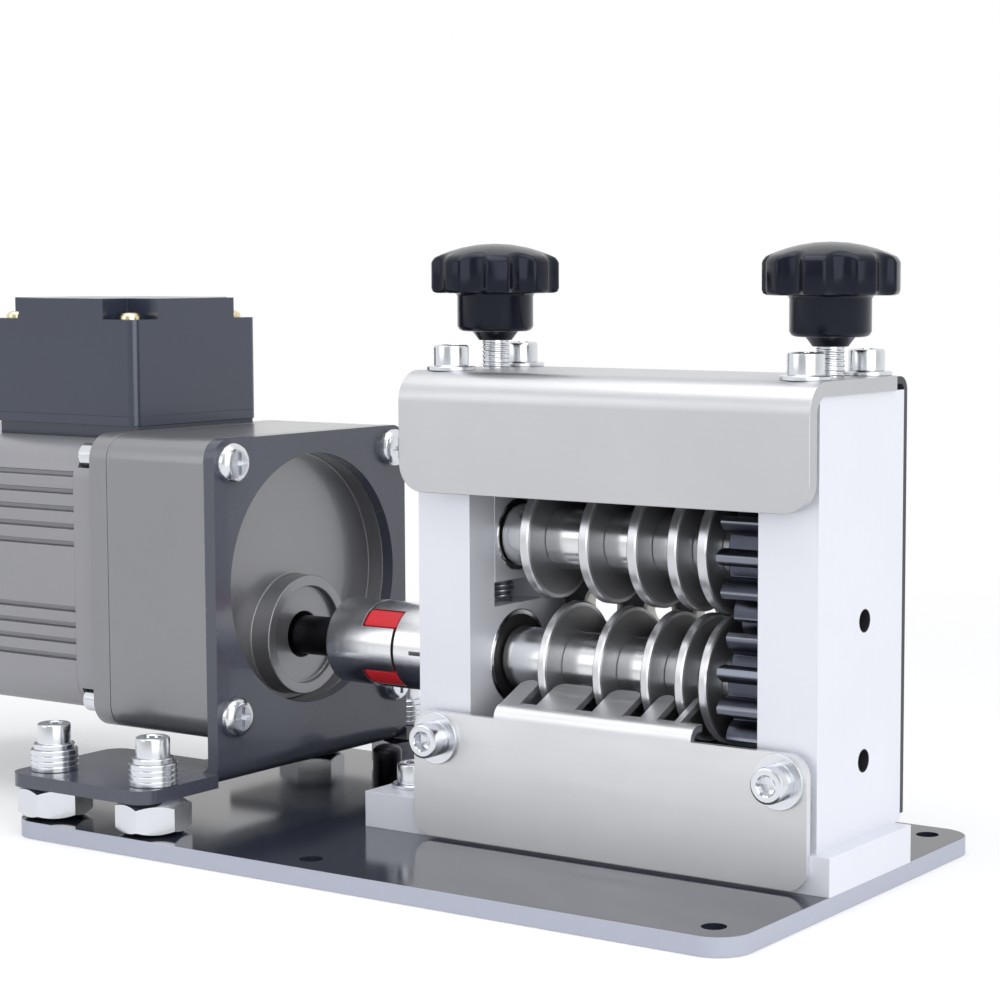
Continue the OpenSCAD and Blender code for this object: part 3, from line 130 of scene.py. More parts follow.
seen = add_node(room, "ShaderNodeMath", {
    0: ray["Is Camera Ray"], 1: ray["Is Transmission Ray"],
}, operation="MAXIMUM").outputs[0]
level = add_node(room, "ShaderNodeMath", {0: seen, 1: wall.outputs["Result"]}, operation="MAXIMUM")
direct = add_node(room, "ShaderNodeMath", {0: seen, 1: ray["Is Glossy Ray"]}, operation="MAXIMUM")
soft_room = add_node(room, "ShaderNodeBackground", {
    "Color": (0.94, 0.96, 1.0, 1), "Strength": fill.outputs["Result"],
})
white_room = add_node(room, "ShaderNodeBackground", {"Color": (1, 1, 1, 1), "Strength": level.outputs[0]})
whole_room = add_node(room, "ShaderNodeMixShader", {
    "Fac": direct.outputs[0], 1: soft_room.outputs[0], 2: white_room.outputs[0],
})
add_node(room, "ShaderNodeOutputWorld", {"Surface": whole_room.outputs[0]})

# Floor: a pale matt sheet that takes the shadow near the machine and fades to white further off.
FLOOR_SIZE = 9
FLOOR_GAP = 0.0002
bm = bmesh.new()
bmesh.ops.create_grid(bm, x_segments=8, y_segments=8, size=FLOOR_SIZE)
floor_mesh = bpy.data.meshes.new("floor")
bm.to_mesh(floor_mesh)
bm.free()
floor = bpy.data.objects.new("floor", floor_mesh)
bpy.context.scene.collection.objects.link(floor)
floor_mesh.transform(Matrix.Translation((0, 0, -FLOOR_GAP)))
floor_paper = bpy.data.materials.new("floor_paper")
floor_paper.use_nodes = True
paper = floor_paper.node_tree
paper.nodes.clear()
spot = add_node(paper, "ShaderNodeTexCoord").outputs["Object"]
reach = add_node(paper, "ShaderNodeVectorMath", {0: spot}, operation="LENGTH")
fade = add_node(paper, "ShaderNodeMapRange", {
    "Value": reach.outputs["Value"], "From Min": 0.22, "From Max": 0.70, "To Min": 0.35,
}, interpolation_type="SMOOTHSTEP")
matt = add_node(paper, "ShaderNodeBsdfDiffuse", {"Color": (0.95, 0.95, 0.955, 1)})
blank = add_node(paper, "ShaderNodeEmission", {"Color": (1, 1, 1, 1)})
sheet = add_node(paper, "ShaderNodeMixShader", {
    "Fac": fade.outputs["Result"], 1: matt.outputs[0], 2: blank.outputs[0],
})
add_node(paper, "ShaderNodeOutputMaterial", {"Surface": sheet.outputs[0]})
floor_mesh.materials.append(floor_paper)


def drifting(material, colour, shade, drift, gloss, low, high, height, depth, distance):
    """Wires a material: colour that drifts a little, gloss from low to high and a fine bump."""
    tree = material.node_tree
    shader = tree.nodes["Principled BSDF"]
    tones = add_node(tree, "ShaderNodeMix", {
        0: drift, 6: (*[c * (1 - shade) for c in colour], 1),
        7: (*[min(1, c * (1 + shade)) for c in colour], 1),
    }, data_type="RGBA")
    sheen = add_node(tree, "ShaderNodeMapRange", {"Value": gloss, "To Min": low, "To Max": min(1, high)})
    bump = add_node(tree, "ShaderNodeBump", {"Height": height, "Strength": depth, "Distance": distance})
    tree.links.new(tones.outputs[2], shader.inputs["Base Color"])
    tree.links.new(sheen.outputs["Result"], shader.inputs["Roughness"])
    tree.links.new(bump.outputs["Normal"], shader.inputs["Normal"])
    return shader


def painted(name, colour, rough, peel=0.06, shade=0.12, coat=0.0, sockets=None):
    """Sprayed paint or smooth plastic with orange peel. Sockets sets more of the shader's inputs."""
    material = bpy.data.materials.new(name)
    material.use_nodes = True
    tree = material.node_tree
    place = add_node(tree, "ShaderNodeTexCoord").outputs["Object"]
    drift = add_node(tree, "ShaderNodeTexNoise", {"Vector": place, "Scale": 18, "Detail": 4}).outputs["Fac"]
    grain = add_node(tree, "ShaderNodeTexNoise", {"Vector": place, "Scale": 900, "Detail": 2}).outputs["Fac"]
    shader = drifting(
        material, colour, shade, drift, drift, rough * 0.85, rough * 1.2, grain, peel, 0.0002
    )
    for socket, value in {"Coat Weight": coat, "Coat Roughness": 0.06, **(sockets or {})}.items():
        shader.inputs[socket].default_value = value
    return material


def placed(piece, node, material):
    """Gives a finished piece its material, and has it ride where the CAD node rides."""
    piece.data.materials.clear()
    piece.data.materials.append(material)
    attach(piece, nodes[node]["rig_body"])


def eased(node, edge, material, angle=38, steps=2):
    """A copy of a CAD node with its sharp edges broken, as a file, a tumbler or a mould leaves them."""
    piece = bpy.data.objects.new(node + "_finished", nodes[node].data.copy())
    bpy.context.scene.collection.objects.link(piece)
    bm = bmesh.new()
    bm.from_mesh(piece.data)
    bmesh.ops.remove_doubles(bm, verts=bm.verts, dist=2e-6)
    bmesh.ops.dissolve_limit(bm, angle_limit=math.radians(0.6), verts=bm.verts, edges=bm.edges)
    bm.to_mesh(piece.data)
    bm.free()
    piece.data.shade_smooth()
    piece.data.set_sharp_from_angle(angle=math.radians(angle))
    if edge:
        bevel = piece.modifiers.new("broken edges", "BEVEL")
        bevel.width = edge
        bevel.segments = steps
        bevel.limit_method = "ANGLE"
        bevel.angle_limit = math.radians(angle)
        bevel.harden_normals = True
        bevel.use_clamp_overlap = True
    even = piece.modifiers.new("even shading", "WEIGHTED_NORMAL")
    even.keep_sharp = True
    even.weight = 100
    placed(piece, node, material)
    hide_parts(node)
    return piece


# Base plate: 5 mm steel, laser cut, painted glossy anthracite. Its outer edges are ground back to
# bare metal after painting, so they show as a pale line. The walls of its holes stay dark.
CORNER_R = 0.010
BARE_DEPTH = 0.0003


def mix_in(material, share, colour, rough):
    """Mixes another colour and gloss into a material, as much as share says."""
    tree = material.node_tree
    shader = tree.nodes["Principled BSDF"]
    under_tone = shader.inputs["Base Color"].links[0].from_socket
    under_gloss = shader.inputs["Roughness"].links[0].from_socket
    tone = add_node(tree, "ShaderNodeMix", {0: share, 6: under_tone, 7: (*colour, 1)}, data_type="RGBA")
    polish = add_node(tree, "ShaderNodeMix", {0: share, 2: under_gloss, 3: rough}, data_type="FLOAT")
    tree.links.new(tone.outputs[2], shader.inputs["Base Color"])
    tree.links.new(polish.outputs[0], shader.inputs["Roughness"])


base_low, base_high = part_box("base_plate")
base_paint = painted("base_paint", (0.020, 0.023, 0.036), 0.12, peel=0.02, shade=0.08)
tree = base_paint.node_tree
place = add_node(tree, "ShaderNodeTexCoord").outputs["Object"]
centred = add_node(tree, "ShaderNodeMapping", {
    "Vector": place, "Location": -(base_low + base_high) / 2,
}).outputs["Vector"]
folded = add_node(tree, "ShaderNodeVectorMath", {0: centred}, operation="ABSOLUTE").outputs["Vector"]
straight = (base_high - base_low) / 2 - Vector((CORNER_R, CORNER_R, -1))
inset = add_node(tree, "ShaderNodeVectorMath", {0: folded, 1: straight}, operation="SUBTRACT")
outside = add_node(tree, "ShaderNodeVectorMath", {
    0: inset.outputs["Vector"], 1: (0, 0, 0),
}, operation="MAXIMUM")
reach = add_node(tree, "ShaderNodeVectorMath", {0: outside.outputs["Vector"]}, operation="LENGTH")
bare = add_node(tree, "ShaderNodeMath", {
    0: reach.outputs["Value"], 1: CORNER_R - BARE_DEPTH,
}, operation="GREATER_THAN")
mix_in(base_paint, bare.outputs[0], (0.39, 0.41, 0.49), 0.42)
eased("base_plate", 0.0004, base_paint)


def cut_metal(name, colour, rough, grain=(1, 1, 1), fine=700, depth=0.12, shade=0.07, metallic=1.0):
    """Bare or plated metal: tool marks drawn out along the axis whose grain is small."""
    material = bpy.data.materials.new(name)
    material.use_nodes = True
    tree = material.node_tree
    place = add_node(tree, "ShaderNodeTexCoord").outputs["Object"]
    stretch = add_node(tree, "ShaderNodeMapping", {"Vector": place, "Scale": grain}).outputs["Vector"]
    noise = [
        add_node(tree, "ShaderNodeTexNoise", {"Vector": vector, "Scale": scale, "Detail": 3}).outputs["Fac"]
        for vector, scale in ((stretch, fine), (place, 30))
    ]
    marks, cloud = noise
    shader = drifting(
        material, colour, shade, cloud, marks, rough * 0.75, rough * 1.3, marks, depth, 0.0001
    )
    shader.inputs["Metallic"].default_value = metallic
    return material


def radial_tone(material, centre, start, end, colour, rough, face=0.0, fade=0.0):
    """Mixes another colour and gloss into a material between two distances from an axis along X.
    With fade it ends away from the plane x = face."""
    tree = material.node_tree
    place = add_node(tree, "ShaderNodeTexCoord").outputs["Object"]
    shift = add_node(tree, "ShaderNodeMapping", {
        "Vector": place, "Location": (-fade * face, -centre[0], -centre[1]), "Scale": (fade, 1, 1),
    }).outputs["Vector"]
    reach = add_node(tree, "ShaderNodeVectorMath", {0: shift}, operation="LENGTH").outputs["Value"]
    share = add_node(tree, "ShaderNodeMapRange", {"Value": reach, "From Min": start, "From Max": end})
    mix_in(material, share.outputs["Result"], colour, rough)


# Foot bar and side plates: aluminium, milled to size and clear anodised, with broken edges.
MILLED = {"grain": (1, 1, 0.08), "depth": 0.05, "shade": 0.03, "metallic": 0.35}
HOLE_Y, HOLE_HEIGHTS, HOLE_R = 0.008, (0.036, 0.074), 0.0033
milled = cut_metal("milled_aluminium", (0.745, 0.76, 0.82), 0.42, **MILLED)
eased("foot_bar", 0.0005, milled)
eased("side_plate_left", 0.0005, milled)
# Painted shade: the right plate's two side holes get a near-black colour inside them, which ends further in
# from the plate's face.
hole_shaded_aluminium = cut_metal("aluminium_painted_hole_shade", (0.745, 0.76, 0.82), 0.42, **MILLED)
plate_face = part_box("side_plate_right")[1].x
for height in HOLE_HEIGHTS:
    radial_tone(hole_shaded_aluminium, (HOLE_Y, height), HOLE_R, 0.0031, (0.03, 0.03, 0.035), 0.5, plate_face, 0.2)
eased("side_plate_right", 0.0005, hole_shaded_aluminium)


def turned(name, rings, closed=False, steps=48):
    """A turned or hexagonal solid about Z. A ring is (radius, height, sides, slope): with sides it
    is a polygon of that inner radius, whose corners drop by slope. Closed joins last to first."""
    bm = bmesh.new()
    loops = []
    for ring in rings:
        radius, height, sides, slope = (*ring, 0, 0)[:4]
        loop = []
        for i in range(steps if radius else 1):
            angle = 2 * math.pi * i / steps
            corner = 2 * math.pi / sides if sides else 0
            reach = radius / math.cos(angle % corner - corner / 2) if sides else radius
            drop = slope * (reach - radius)
            x, y = reach * math.cos(angle), reach * math.sin(angle)
            loop.append(bm.verts.new((x, y, height - drop)))
        loops.append(loop)
    pairs = list(zip(loops, loops[1:]))
    if closed:
        pairs.append((loops[-1], loops[0]))
    for low, high in pairs:
        for i in range(steps):
            j = (i + 1) % steps
            around = [low[i % len(low)], low[j % len(low)], high[j % len(high)], high[i % len(high)]]
            bm.faces.new(list(dict.fromkeys(around)))
    bmesh.ops.recalc_face_normals(bm, faces=bm.faces)
    mesh = bpy.data.meshes.new(name)
    bm.to_mesh(mesh)
    bm.free()
    mesh.shade_smooth()
    mesh.set_sharp_from_angle(angle=math.radians(32))
    return mesh


def tree_input(tree, name, kind):
    """Adds a named input to a Geometry Nodes tree and returns its identifier."""
    return tree.interface.new_socket(name=name, in_out="INPUT", socket_type=kind).identifier


# Geometry Nodes tree that sets one fastener out in rows and columns, turned by a small chance angle.
pattern = bpy.data.node_groups.new("fastener_pattern", "GeometryNodeTree")
pattern_in = {
    name: tree_input(pattern, name, "NodeSocket" + kind)
    for name, kind in (
        ("Fastener", "Geometry"), ("First Place", "Vector"), ("Columns", "Int"), ("Column Step", "Vector"),
        ("Rows", "Int"), ("Row Step", "Vector"), ("Facing", "Vector"), ("Least Turn", "Float"),
        ("Most Turn", "Float"), ("Seed", "Int"), ("Finish", "Material"),
    )
}
pattern.interface.new_socket(name="Fasteners", in_out="OUTPUT", socket_type="NodeSocketGeometry")
given = add_node(pattern, "NodeGroupInput").outputs
column_line = add_node(pattern, "GeometryNodeMeshLine", {
    "Count": given["Columns"], "Start Location": given["First Place"], "Offset": given["Column Step"],
}, mode="OFFSET")
row_line = add_node(pattern, "GeometryNodeMeshLine", {
    "Count": given["Rows"], "Offset": given["Row Step"],
}, mode="OFFSET")
rows = add_node(pattern, "GeometryNodeInstanceOnPoints", {
    "Points": column_line.outputs["Mesh"], "Instance": row_line.outputs["Mesh"],
})
seats = add_node(pattern, "GeometryNodeRealizeInstances", {"Geometry": rows.outputs["Instances"]})
facing_turn = add_node(pattern, "FunctionNodeEulerToRotation", {"Euler": given["Facing"]})
chance = add_node(pattern, "FunctionNodeRandomValue", {
    2: given["Least Turn"], 3: given["Most Turn"], "Seed": given["Seed"],
})
about_axis = add_node(pattern, "ShaderNodeCombineXYZ", {"Z": chance.outputs[1]})
axis_turn = add_node(pattern, "FunctionNodeEulerToRotation", {"Euler": about_axis.outputs["Vector"]})
seated = add_node(pattern, "GeometryNodeInstanceOnPoints", {
    "Points": seats.outputs["Geometry"], "Instance": given["Fastener"],
    "Rotation": facing_turn.outputs["Rotation"],
})
spun = add_node(pattern, "GeometryNodeRotateInstances", {
    "Instances": seated.outputs["Instances"], "Rotation": axis_turn.outputs["Rotation"],
})
solid = add_node(pattern, "GeometryNodeRealizeInstances", {"Geometry": spun.outputs["Instances"]})
finish = add_node(pattern, "GeometryNodeSetMaterial", {
    "Geometry": solid.outputs["Geometry"], "Material": given["Finish"],
})
add_node(pattern, "NodeGroupOutput", {"Fasteners": finish.outputs["Geometry"]})
FACING = {
    "up": (0, 0, 0), "down": (math.pi, 0, 0), "front": (math.pi / 2, 0, 0),
    "back": (-math.pi / 2, 0, 0), "right": (0, math.pi / 2, 0), "left": (0, -math.pi / 2, 0),
}


def grown(name, mesh, tree, inputs):
    """Runs a Geometry Nodes tree on a mesh and keeps what it makes as a plain mesh."""
    piece = bpy.data.objects.new(name, mesh)
    bpy.context.scene.collection.objects.link(piece)
    growth = piece.modifiers.new("growth", "NODES")
    growth.node_group = tree
    for identifier, value in inputs.items():
        growth[identifier] = value
    bpy.context.view_layer.update()
    whole = piece.evaluated_get(bpy.context.evaluated_depsgraph_get())
    made = bpy.data.meshes.new_from_object(whole)
    piece.modifiers.remove(growth)
    piece.data = made
    return piece


def set_out(node, fastener, facing, seat, reach, material, turn=(0.0, 1.0), seed=3, count=(2, 2)):
    """Fasteners at the corners of the CAD node's box, reach inside it, with their seats at seat."""
    low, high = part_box(node)
    axis = {"up": 2, "down": 2, "front": 1, "back": 1, "right": 0, "left": 0}[facing]
    across = [i for i in range(3) if i != axis]
    first = Vector((0, 0, 0))
    first[axis] = seat
    steps = []
    for i, number in zip(across, count):
        step = Vector((0, 0, 0))
        first[i] = low[i] + reach if number > 1 else (low[i] + high[i]) / 2
        step[i] = high[i] - low[i] - 2 * reach if number > 1 else 0
        steps.append(step)
    piece = grown(node + "_finished", fastener, pattern, {
        pattern_in["First Place"]: first, pattern_in["Columns"]: count[0],
        pattern_in["Column Step"]: steps[0], pattern_in["Rows"]: count[1],
        pattern_in["Row Step"]: steps[1], pattern_in["Facing"]: FACING[facing],
        pattern_in["Least Turn"]: turn[0], pattern_in["Most Turn"]: turn[1],
        pattern_in["Seed"]: seed, pattern_in["Finish"]: material,
    })
    placed(piece, node, material)
    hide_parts(node)
    return piece


def cap_screw(name, shank, washer=0.0, thick=0.0012):
    """A 6 mm socket screw, head up on z = 0, on a washer of that radius where one is given."""
    flange = [
        (0.0030, 0), (washer - 0.0002, 0), (washer, 0.0002), (washer, thick - 0.0002),
        (washer - 0.0003, thick), (0.0052, thick),
    ] if washer else [(0.0030, 0)]
    base = thick if washer else 0.0
    return turned(name, [
        (0, -shank), (0.0024, -shank), (0.0030, -shank + 0.0006), *flange,
        (0.0048, base), (0.0050, base + 0.0003), (0.0050, base + 0.0052), (0.00485, base + 0.0057),
        (0.0045, base + 0.00595), (0.0041, base + 0.0060), (0.00295, base + 0.0060),
        (0.00255, base + 0.0057, 6), (0.00250, base + 0.0030, 6), (0, base + 0.0022),
    ])


# Foot screws: four 6 mm socket screws with washers hold the foot bar on the base plate, and four
# more come up through the bar into the side plates. All fasteners are bright zinc plated steel.
bright_zinc = cut_metal("bright_zinc", (0.70, 0.72, 0.755), 0.20, fine=400, depth=0.05)
foot_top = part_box("foot_bar")[1].z
foot_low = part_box("foot_screws")[0].z
set_out("foot_screws", cap_screw("foot_screw", foot_top - foot_low, 0.0065), "up", foot_top, 0.0065,
    bright_zinc)
under_low, under_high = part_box("side_plate_screws")
set_out("side_plate_screws", cap_screw("side_plate_screw", under_high.z - under_low.z - 0.006),
    "down", under_low.z + 0.006, 0.005, bright_zinc)

# Covers: cut and bent steel sheet with a satin zinc finish, brushed along the machine.
satin_zinc = cut_metal("satin_zinc", (0.54, 0.545, 0.565), 0.38, grain=(0.04, 1, 1), depth=0.10)
# Painted light: the lower cover takes a lighter copy of the same zinc finish, so that it reads brighter than
# the upper cover.
zinc_painted_light = cut_metal("zinc_painted_light", (0.76, 0.765, 0.785), 0.42, grain=(0.04, 1, 1), depth=0.06)
eased("upper_cover", 0.0006, satin_zinc)
eased("lower_cover", 0.0003, zinc_painted_light)

# Cover screws: flanged socket screws on top, and two with loose washers on the lower cover.
cover_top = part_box("upper_cover")[1].z
screw_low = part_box("upper_cover_screws")[0].z
set_out("upper_cover_screws", cap_screw("cover_screw", cover_top - screw_low, 0.0070), "up", cover_top,
    0.0070, bright_zinc, seed=8)
washer_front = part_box("lower_cover_washers")[0].y
screw_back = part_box("lower_cover_screws")[1].y
set_out("lower_cover_screws", cap_screw("front_screw", screw_back - washer_front), "front", washer_front,
    0.005, bright_zinc, seed=5, count=(2, 1))
eased("lower_cover_washers", 0.00015, bright_zinc)

# Infeed plate: thin steel behind the discs, painted dark, with four pan head screws. Smooth rings
# of hard ivory plastic line its five holes.
dark_sheet = painted("dark_sheet", (0.022, 0.024, 0.032), 0.42, peel=0.15, shade=0.10)
eased("rear_guide_plate", 0.0003, dark_sheet)
eased("rear_guide_screws", 0.0003, bright_zinc)
ivory = painted("ivory_plastic", (0.78, 0.76, 0.70), 0.25, peel=0.02, shade=0.03)
eased("guide_bushes", 0.0003, ivory)

# Motor bracket: 4 mm steel, bent once and painted like the base.
bracket_paint = painted("bracket_paint", (0.057, 0.062, 0.086), 0.26, peel=0.05, shade=0.08, coat=0.3)
eased("motor_bracket", 0.0006, bracket_paint)

# Feet of the bracket: a big chamfered nut as a spacer, a stack of washers and a socket screw at
# each of its four corners.
nut_low, nut_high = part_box("spacer_nuts")
nut_h = nut_high.z - nut_low.z
NUT_FLAT = 0.0095
NUT_FACE = 0.0079
slope = math.tan(math.radians(30))
nut = turned("spacer_nut", [
    (0.0052, 0), (NUT_FACE, 0), (NUT_FLAT, slope * (NUT_FLAT - NUT_FACE), 6, -slope),
    (NUT_FLAT, nut_h - slope * (NUT_FLAT - NUT_FACE), 6, slope), (NUT_FACE, nut_h), (0.0052, nut_h),
], closed=True, steps=72)
stack_low, stack_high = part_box("bracket_washers")
washer_h = 0.0016
stack = [(0.0034, 0)]
for i in range(4):
    base = i * washer_h
    stack += [(0.0068, base), (0.0070, base + 0.0002), (0.0070, base + 0.0014), (0.0068, base + washer_h)]
stack += [
    (0.0059, 4 * washer_h), (0.0061, 4 * washer_h + 0.0002), (0.0061, 5 * washer_h - 0.0002),
    (0.0059, 5 * washer_h), (0.0034, 5 * washer_h),
]
set_out("spacer_nuts", nut, "up", nut_low.z, 0.0106, bright_zinc, turn=(0.70, 0.83))
set_out("bracket_washers", turned("washer_stack", stack, closed=True), "up", stack_low.z, 0.0070,
    bright_zinc)
screw_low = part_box("bracket_screws")[0].z
set_out("bracket_screws", cap_screw("bracket_screw", stack_high.z - screw_low), "up", stack_high.z,
    0.005, bright_zinc, seed=11)

# Gearbox: two castings with a fine stippled skin under mid-grey paint, held by four long screws.
gearbox_paint = painted("gearbox_paint", (0.256, 0.258, 0.270), 0.33, peel=0.30, shade=0.06, coat=0.4,
    sockets={"Metallic": 0.75})
for part in ("gearbox_housing", "gearbox_rear_plate"):
    eased(part, 0.0012, gearbox_paint, steps=3)
eased("gearbox_screws", 0.0004, bright_zinc)

# Gear train inside: cut steel gears on ground shafts.
ground_steel = cut_metal("ground_steel", (0.74, 0.745, 0.76), 0.20, grain=(1, 0.06, 0.06), fine=900,
    metallic=0.95)
for part in ("layshaft", "layshaft_gear", "output_gear", "motor_shaft"):
    eased(part, 0, ground_steel)

# Motor: ribbed aluminium housing between two end shields, all in light grey paint, and a fan
# cover with ring slots. Four long screws hold the row together.
motor_paint = painted("motor_paint", (0.29, 0.29, 0.31), 0.32, peel=0.18, shade=0.05,
    sockets={"Metallic": 0.45})
motor_edges = {"motor_housing": 0.0003, "motor_front_shield": 0.0008, "motor_rear_shield": 0.0008}
for part, edge in motor_edges.items():
    eased(part, edge, motor_paint)
fan_cover_paint = painted("fan_cover_paint", (0.24, 0.245, 0.28), 0.42, peel=0.18, shade=0.05)
eased("fan_cover", 0.0008, fan_cover_paint)
eased("tie_screws", 0.0003, bright_zinc)

# Stator and rotor: stacked sheet with copper end windings, and a moulded fan on the shaft's end.
stacked = cut_metal("stacked_sheet", (0.28, 0.28, 0.29), 0.5, grain=(6, 0.05, 0.05))
for part in ("stator_core", "rotor_core"):
    eased(part, 0, stacked)
copper = cut_metal("enamelled_copper", (0.62, 0.26, 0.10), 0.3, grain=(8, 0.2, 0.2), depth=0.5)
eased("stator_windings", 0.0010, copper)
black_plastic = painted("black_plastic", (0.014, 0.014, 0.016), 0.4, peel=0.1)
eased("cooling_fan", 0.0003, black_plastic)

# Terminal box: blue-grey moulded plastic, a shallow base and a deep cover with stepped corners,
# yellow zinc screws, a row of wire clamps inside and a gland for the lead.
box_plastic = painted("box_plastic", (0.018, 0.022, 0.040), 0.19, peel=0.10, shade=0.06,
    sockets={"Specular IOR Level": 0.95, "Specular Tint": (0.84, 0.89, 1.0, 1)})
for part, edge in (("terminal_base", 0.0004), ("terminal_cover", 0.0009)):
    eased(part, edge, box_plastic)
yellow_zinc = cut_metal("yellow_zinc", (0.80, 0.70, 0.46), 0.25, fine=400, depth=0.04)
eased("terminal_cover_screws", 0.0002, yellow_zinc)
eased("terminal_block", 0.0003, painted("clamp_plastic", (0.72, 0.70, 0.62), 0.45))
eased("cable_gland", 0.0004, black_plastic)

# Shafts and sleeves: ground steel. The gearbox shaft and the stud behind it are black oxide.
for part in ("lower_shaft", "upper_shaft", "lower_sleeves", "upper_sleeves"):
    eased(part, 0.0003, ground_steel)
black_oxide = cut_metal("black_oxide", (0.030, 0.030, 0.036), 0.32, fine=500, depth=0.10)
for part in ("output_shaft", "black_stud"):
    eased(part, 0, black_oxide)

# Discs: turned tool steel, darker on their faces than on the narrow ground bevel of each rim.
feed_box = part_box("feed_discs")
cutting_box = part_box("cutting_discs")
for part, (low, high) in (("feed_discs", feed_box), ("cutting_discs", cutting_box)):
    centre = ((low.y + high.y) / 2, (low.z + high.z) / 2)
    rim = (high.z - low.z) / 2
    tool_steel = cut_metal("tool_steel_" + part, (0.36, 0.365, 0.38), 0.36, fine=900, depth=0.05,
        metallic=0.85)
    radial_tone(tool_steel, centre, rim - 0.0016, rim - 0.0011, (0.62, 0.625, 0.65), 0.28)
    eased(part, 0, tool_steel, angle=25)

# Spur gears: black oxide, with a painted highlight: a lighter colour on the tips of the teeth.
for part, (low, high) in (("lower_gear", feed_box), ("upper_gear", cutting_box)):
    centre = ((low.y + high.y) / 2, (low.z + high.z) / 2)
    gear_low, gear_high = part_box(part)
    tip = max(gear_high.z - centre[1], centre[1] - gear_low.z)
    gear_black = cut_metal("gear_black_" + part, (0.085, 0.092, 0.120), 0.38, fine=500, depth=0.10)
    radial_tone(gear_black, centre, tip - 0.0006, tip - 0.0002, (0.22, 0.235, 0.28), 0.32)
    eased(part, 0.0003, gear_black, angle=30)

# Ball bearings: ground rings with a black seal between them, in the side plates, in the sliding
# blocks and in the gear motor.
bearing_steel = cut_metal("bearing_steel", (0.56, 0.57, 0.59), 0.16, fine=800, depth=0.03)
seal_rubber = painted("seal_rubber", (0.012, 0.012, 0.014), 0.5, peel=0.1)
BORE_R = 0.00605
for part, width in (("lower_bearings", 0.008), ("upper_bearings", 0.005)):
    low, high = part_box(part)
    outer = (high.z - low.z) / 2
    inner_race = BORE_R + 0.0012
    outer_race = outer - 0.0014
    races = turned(part + "_races", [
        (BORE_R, 0.0002), (BORE_R + 0.0002, 0), (inner_race, 0), (inner_race, 0.0006), (outer_race, 0.0006),
        (outer_race, 0), (outer - 0.0003, 0), (outer, 0.0003), (outer, width - 0.0003),
        (outer - 0.0003, width), (outer_race, width), (outer_race, width - 0.0006),
        (inner_race, width - 0.0006), (inner_race, width), (BORE_R + 0.0002, width), (BORE_R, width - 0.0002),
    ], closed=True, steps=72)
    seals = turned(part + "_seals", [
        (inner_race + 0.0001, 0.0002), (outer_race - 0.0001, 0.0002),
        (outer_race - 0.0001, width - 0.0002), (inner_race + 0.0001, width - 0.0002),
    ], closed=True, steps=72)
    spot = Vector((low.x, (low.y + high.y) / 2, (low.z + high.z) / 2))
    for mesh, material, slot in (
        (races, bearing_steel, "bearing_steel"), (seals, seal_rubber, "black_plastic"),
    ):
        piece = grown(mesh.name + "_finished", mesh, pattern, {
            pattern_in["First Place"]: spot, pattern_in["Columns"]: 2,
            pattern_in["Column Step"]: (high.x - low.x - width, 0, 0), pattern_in["Rows"]: 1,
            pattern_in["Row Step"]: (0, 0, 0), pattern_in["Facing"]: FACING["right"],
            pattern_in["Least Turn"]: 0.0, pattern_in["Most Turn"]: 0.0,
            pattern_in["Seed"]: 1, pattern_in["Finish"]: material,
        })
        placed(piece, part, material)
        if mesh is races:
            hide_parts(part)
eased("gear_motor_bearings", 0.0004, bearing_steel)

# Bearing blocks: milled steel, sliding in the pockets of the side plates on wire springs.
block_steel = cut_metal("milled_steel", (0.72, 0.735, 0.78), 0.38, grain=(1, 1, 0.08),
    metallic=0.45)
for part in ("bearing_block_left", "bearing_block_right"):
    eased(part, 0.0003, block_steel)
spring_wire = cut_metal("spring_wire", (0.42, 0.43, 0.46), 0.3)
eased("lift_springs", 0, spring_wire, angle=60)

# Coupling: two turned aluminium hubs with jaws, and a red elastic star between them.
turned_alloy = cut_metal("turned_aluminium", (0.82, 0.83, 0.86), 0.22, grain=(1, 0.05, 0.05), fine=900,
    depth=0.04)
for part in ("coupling_hub_motor", "coupling_hub_drive"):
    eased(part, 0.0005, turned_alloy)
red_rubber = painted("red_rubber", (0.62, 0.02, 0.03), 0.45, peel=0.1)
eased("coupling_star", 0.0004, red_rubber)

# Geometry Nodes tree for a screw thread: a ridge wound round a core, up to the given length.
winding = bpy.data.node_groups.new("screw_thread", "GeometryNodeTree")
winding_in = {
    name: tree_input(winding, name, "NodeSocket" + kind)
    for name, kind in (
        ("Core", "Geometry"), ("Foot", "Vector"), ("Root Radius", "Float"), ("Ridge", "Float"),
        ("Turns", "Float"), ("Length", "Float"), ("Finish", "Material"),
    )
}
winding.interface.new_socket(name="Screw", in_out="OUTPUT", socket_type="NodeSocketGeometry")
given = add_node(winding, "NodeGroupInput").outputs
helix = add_node(winding, "GeometryNodeCurveSpiral", {
    "Resolution": 28, "Rotations": given["Turns"], "Start Radius": given["Root Radius"],
    "End Radius": given["Root Radius"], "Height": given["Length"],
})
ridge = add_node(winding, "GeometryNodeCurvePrimitiveCircle", {"Resolution": 4, "Radius": given["Ridge"]})
wound = add_node(winding, "GeometryNodeCurveToMesh", {
    "Curve": helix.outputs["Curve"], "Profile Curve": ridge.outputs["Curve"], "Fill Caps": True,
})
moved = add_node(winding, "GeometryNodeTransform", {
    "Geometry": wound.outputs["Mesh"], "Translation": given["Foot"],
})
joined = add_node(winding, "GeometryNodeJoinGeometry", {"Geometry": given["Core"]})
winding.links.new(moved.outputs["Geometry"], joined.inputs["Geometry"])
solid = add_node(winding, "GeometryNodeRealizeInstances", {"Geometry": joined.outputs["Geometry"]})
finish = add_node(winding, "GeometryNodeSetMaterial", {
    "Geometry": solid.outputs["Geometry"], "Material": given["Finish"],
})
add_node(winding, "NodeGroupOutput", {"Screw": finish.outputs["Geometry"]})


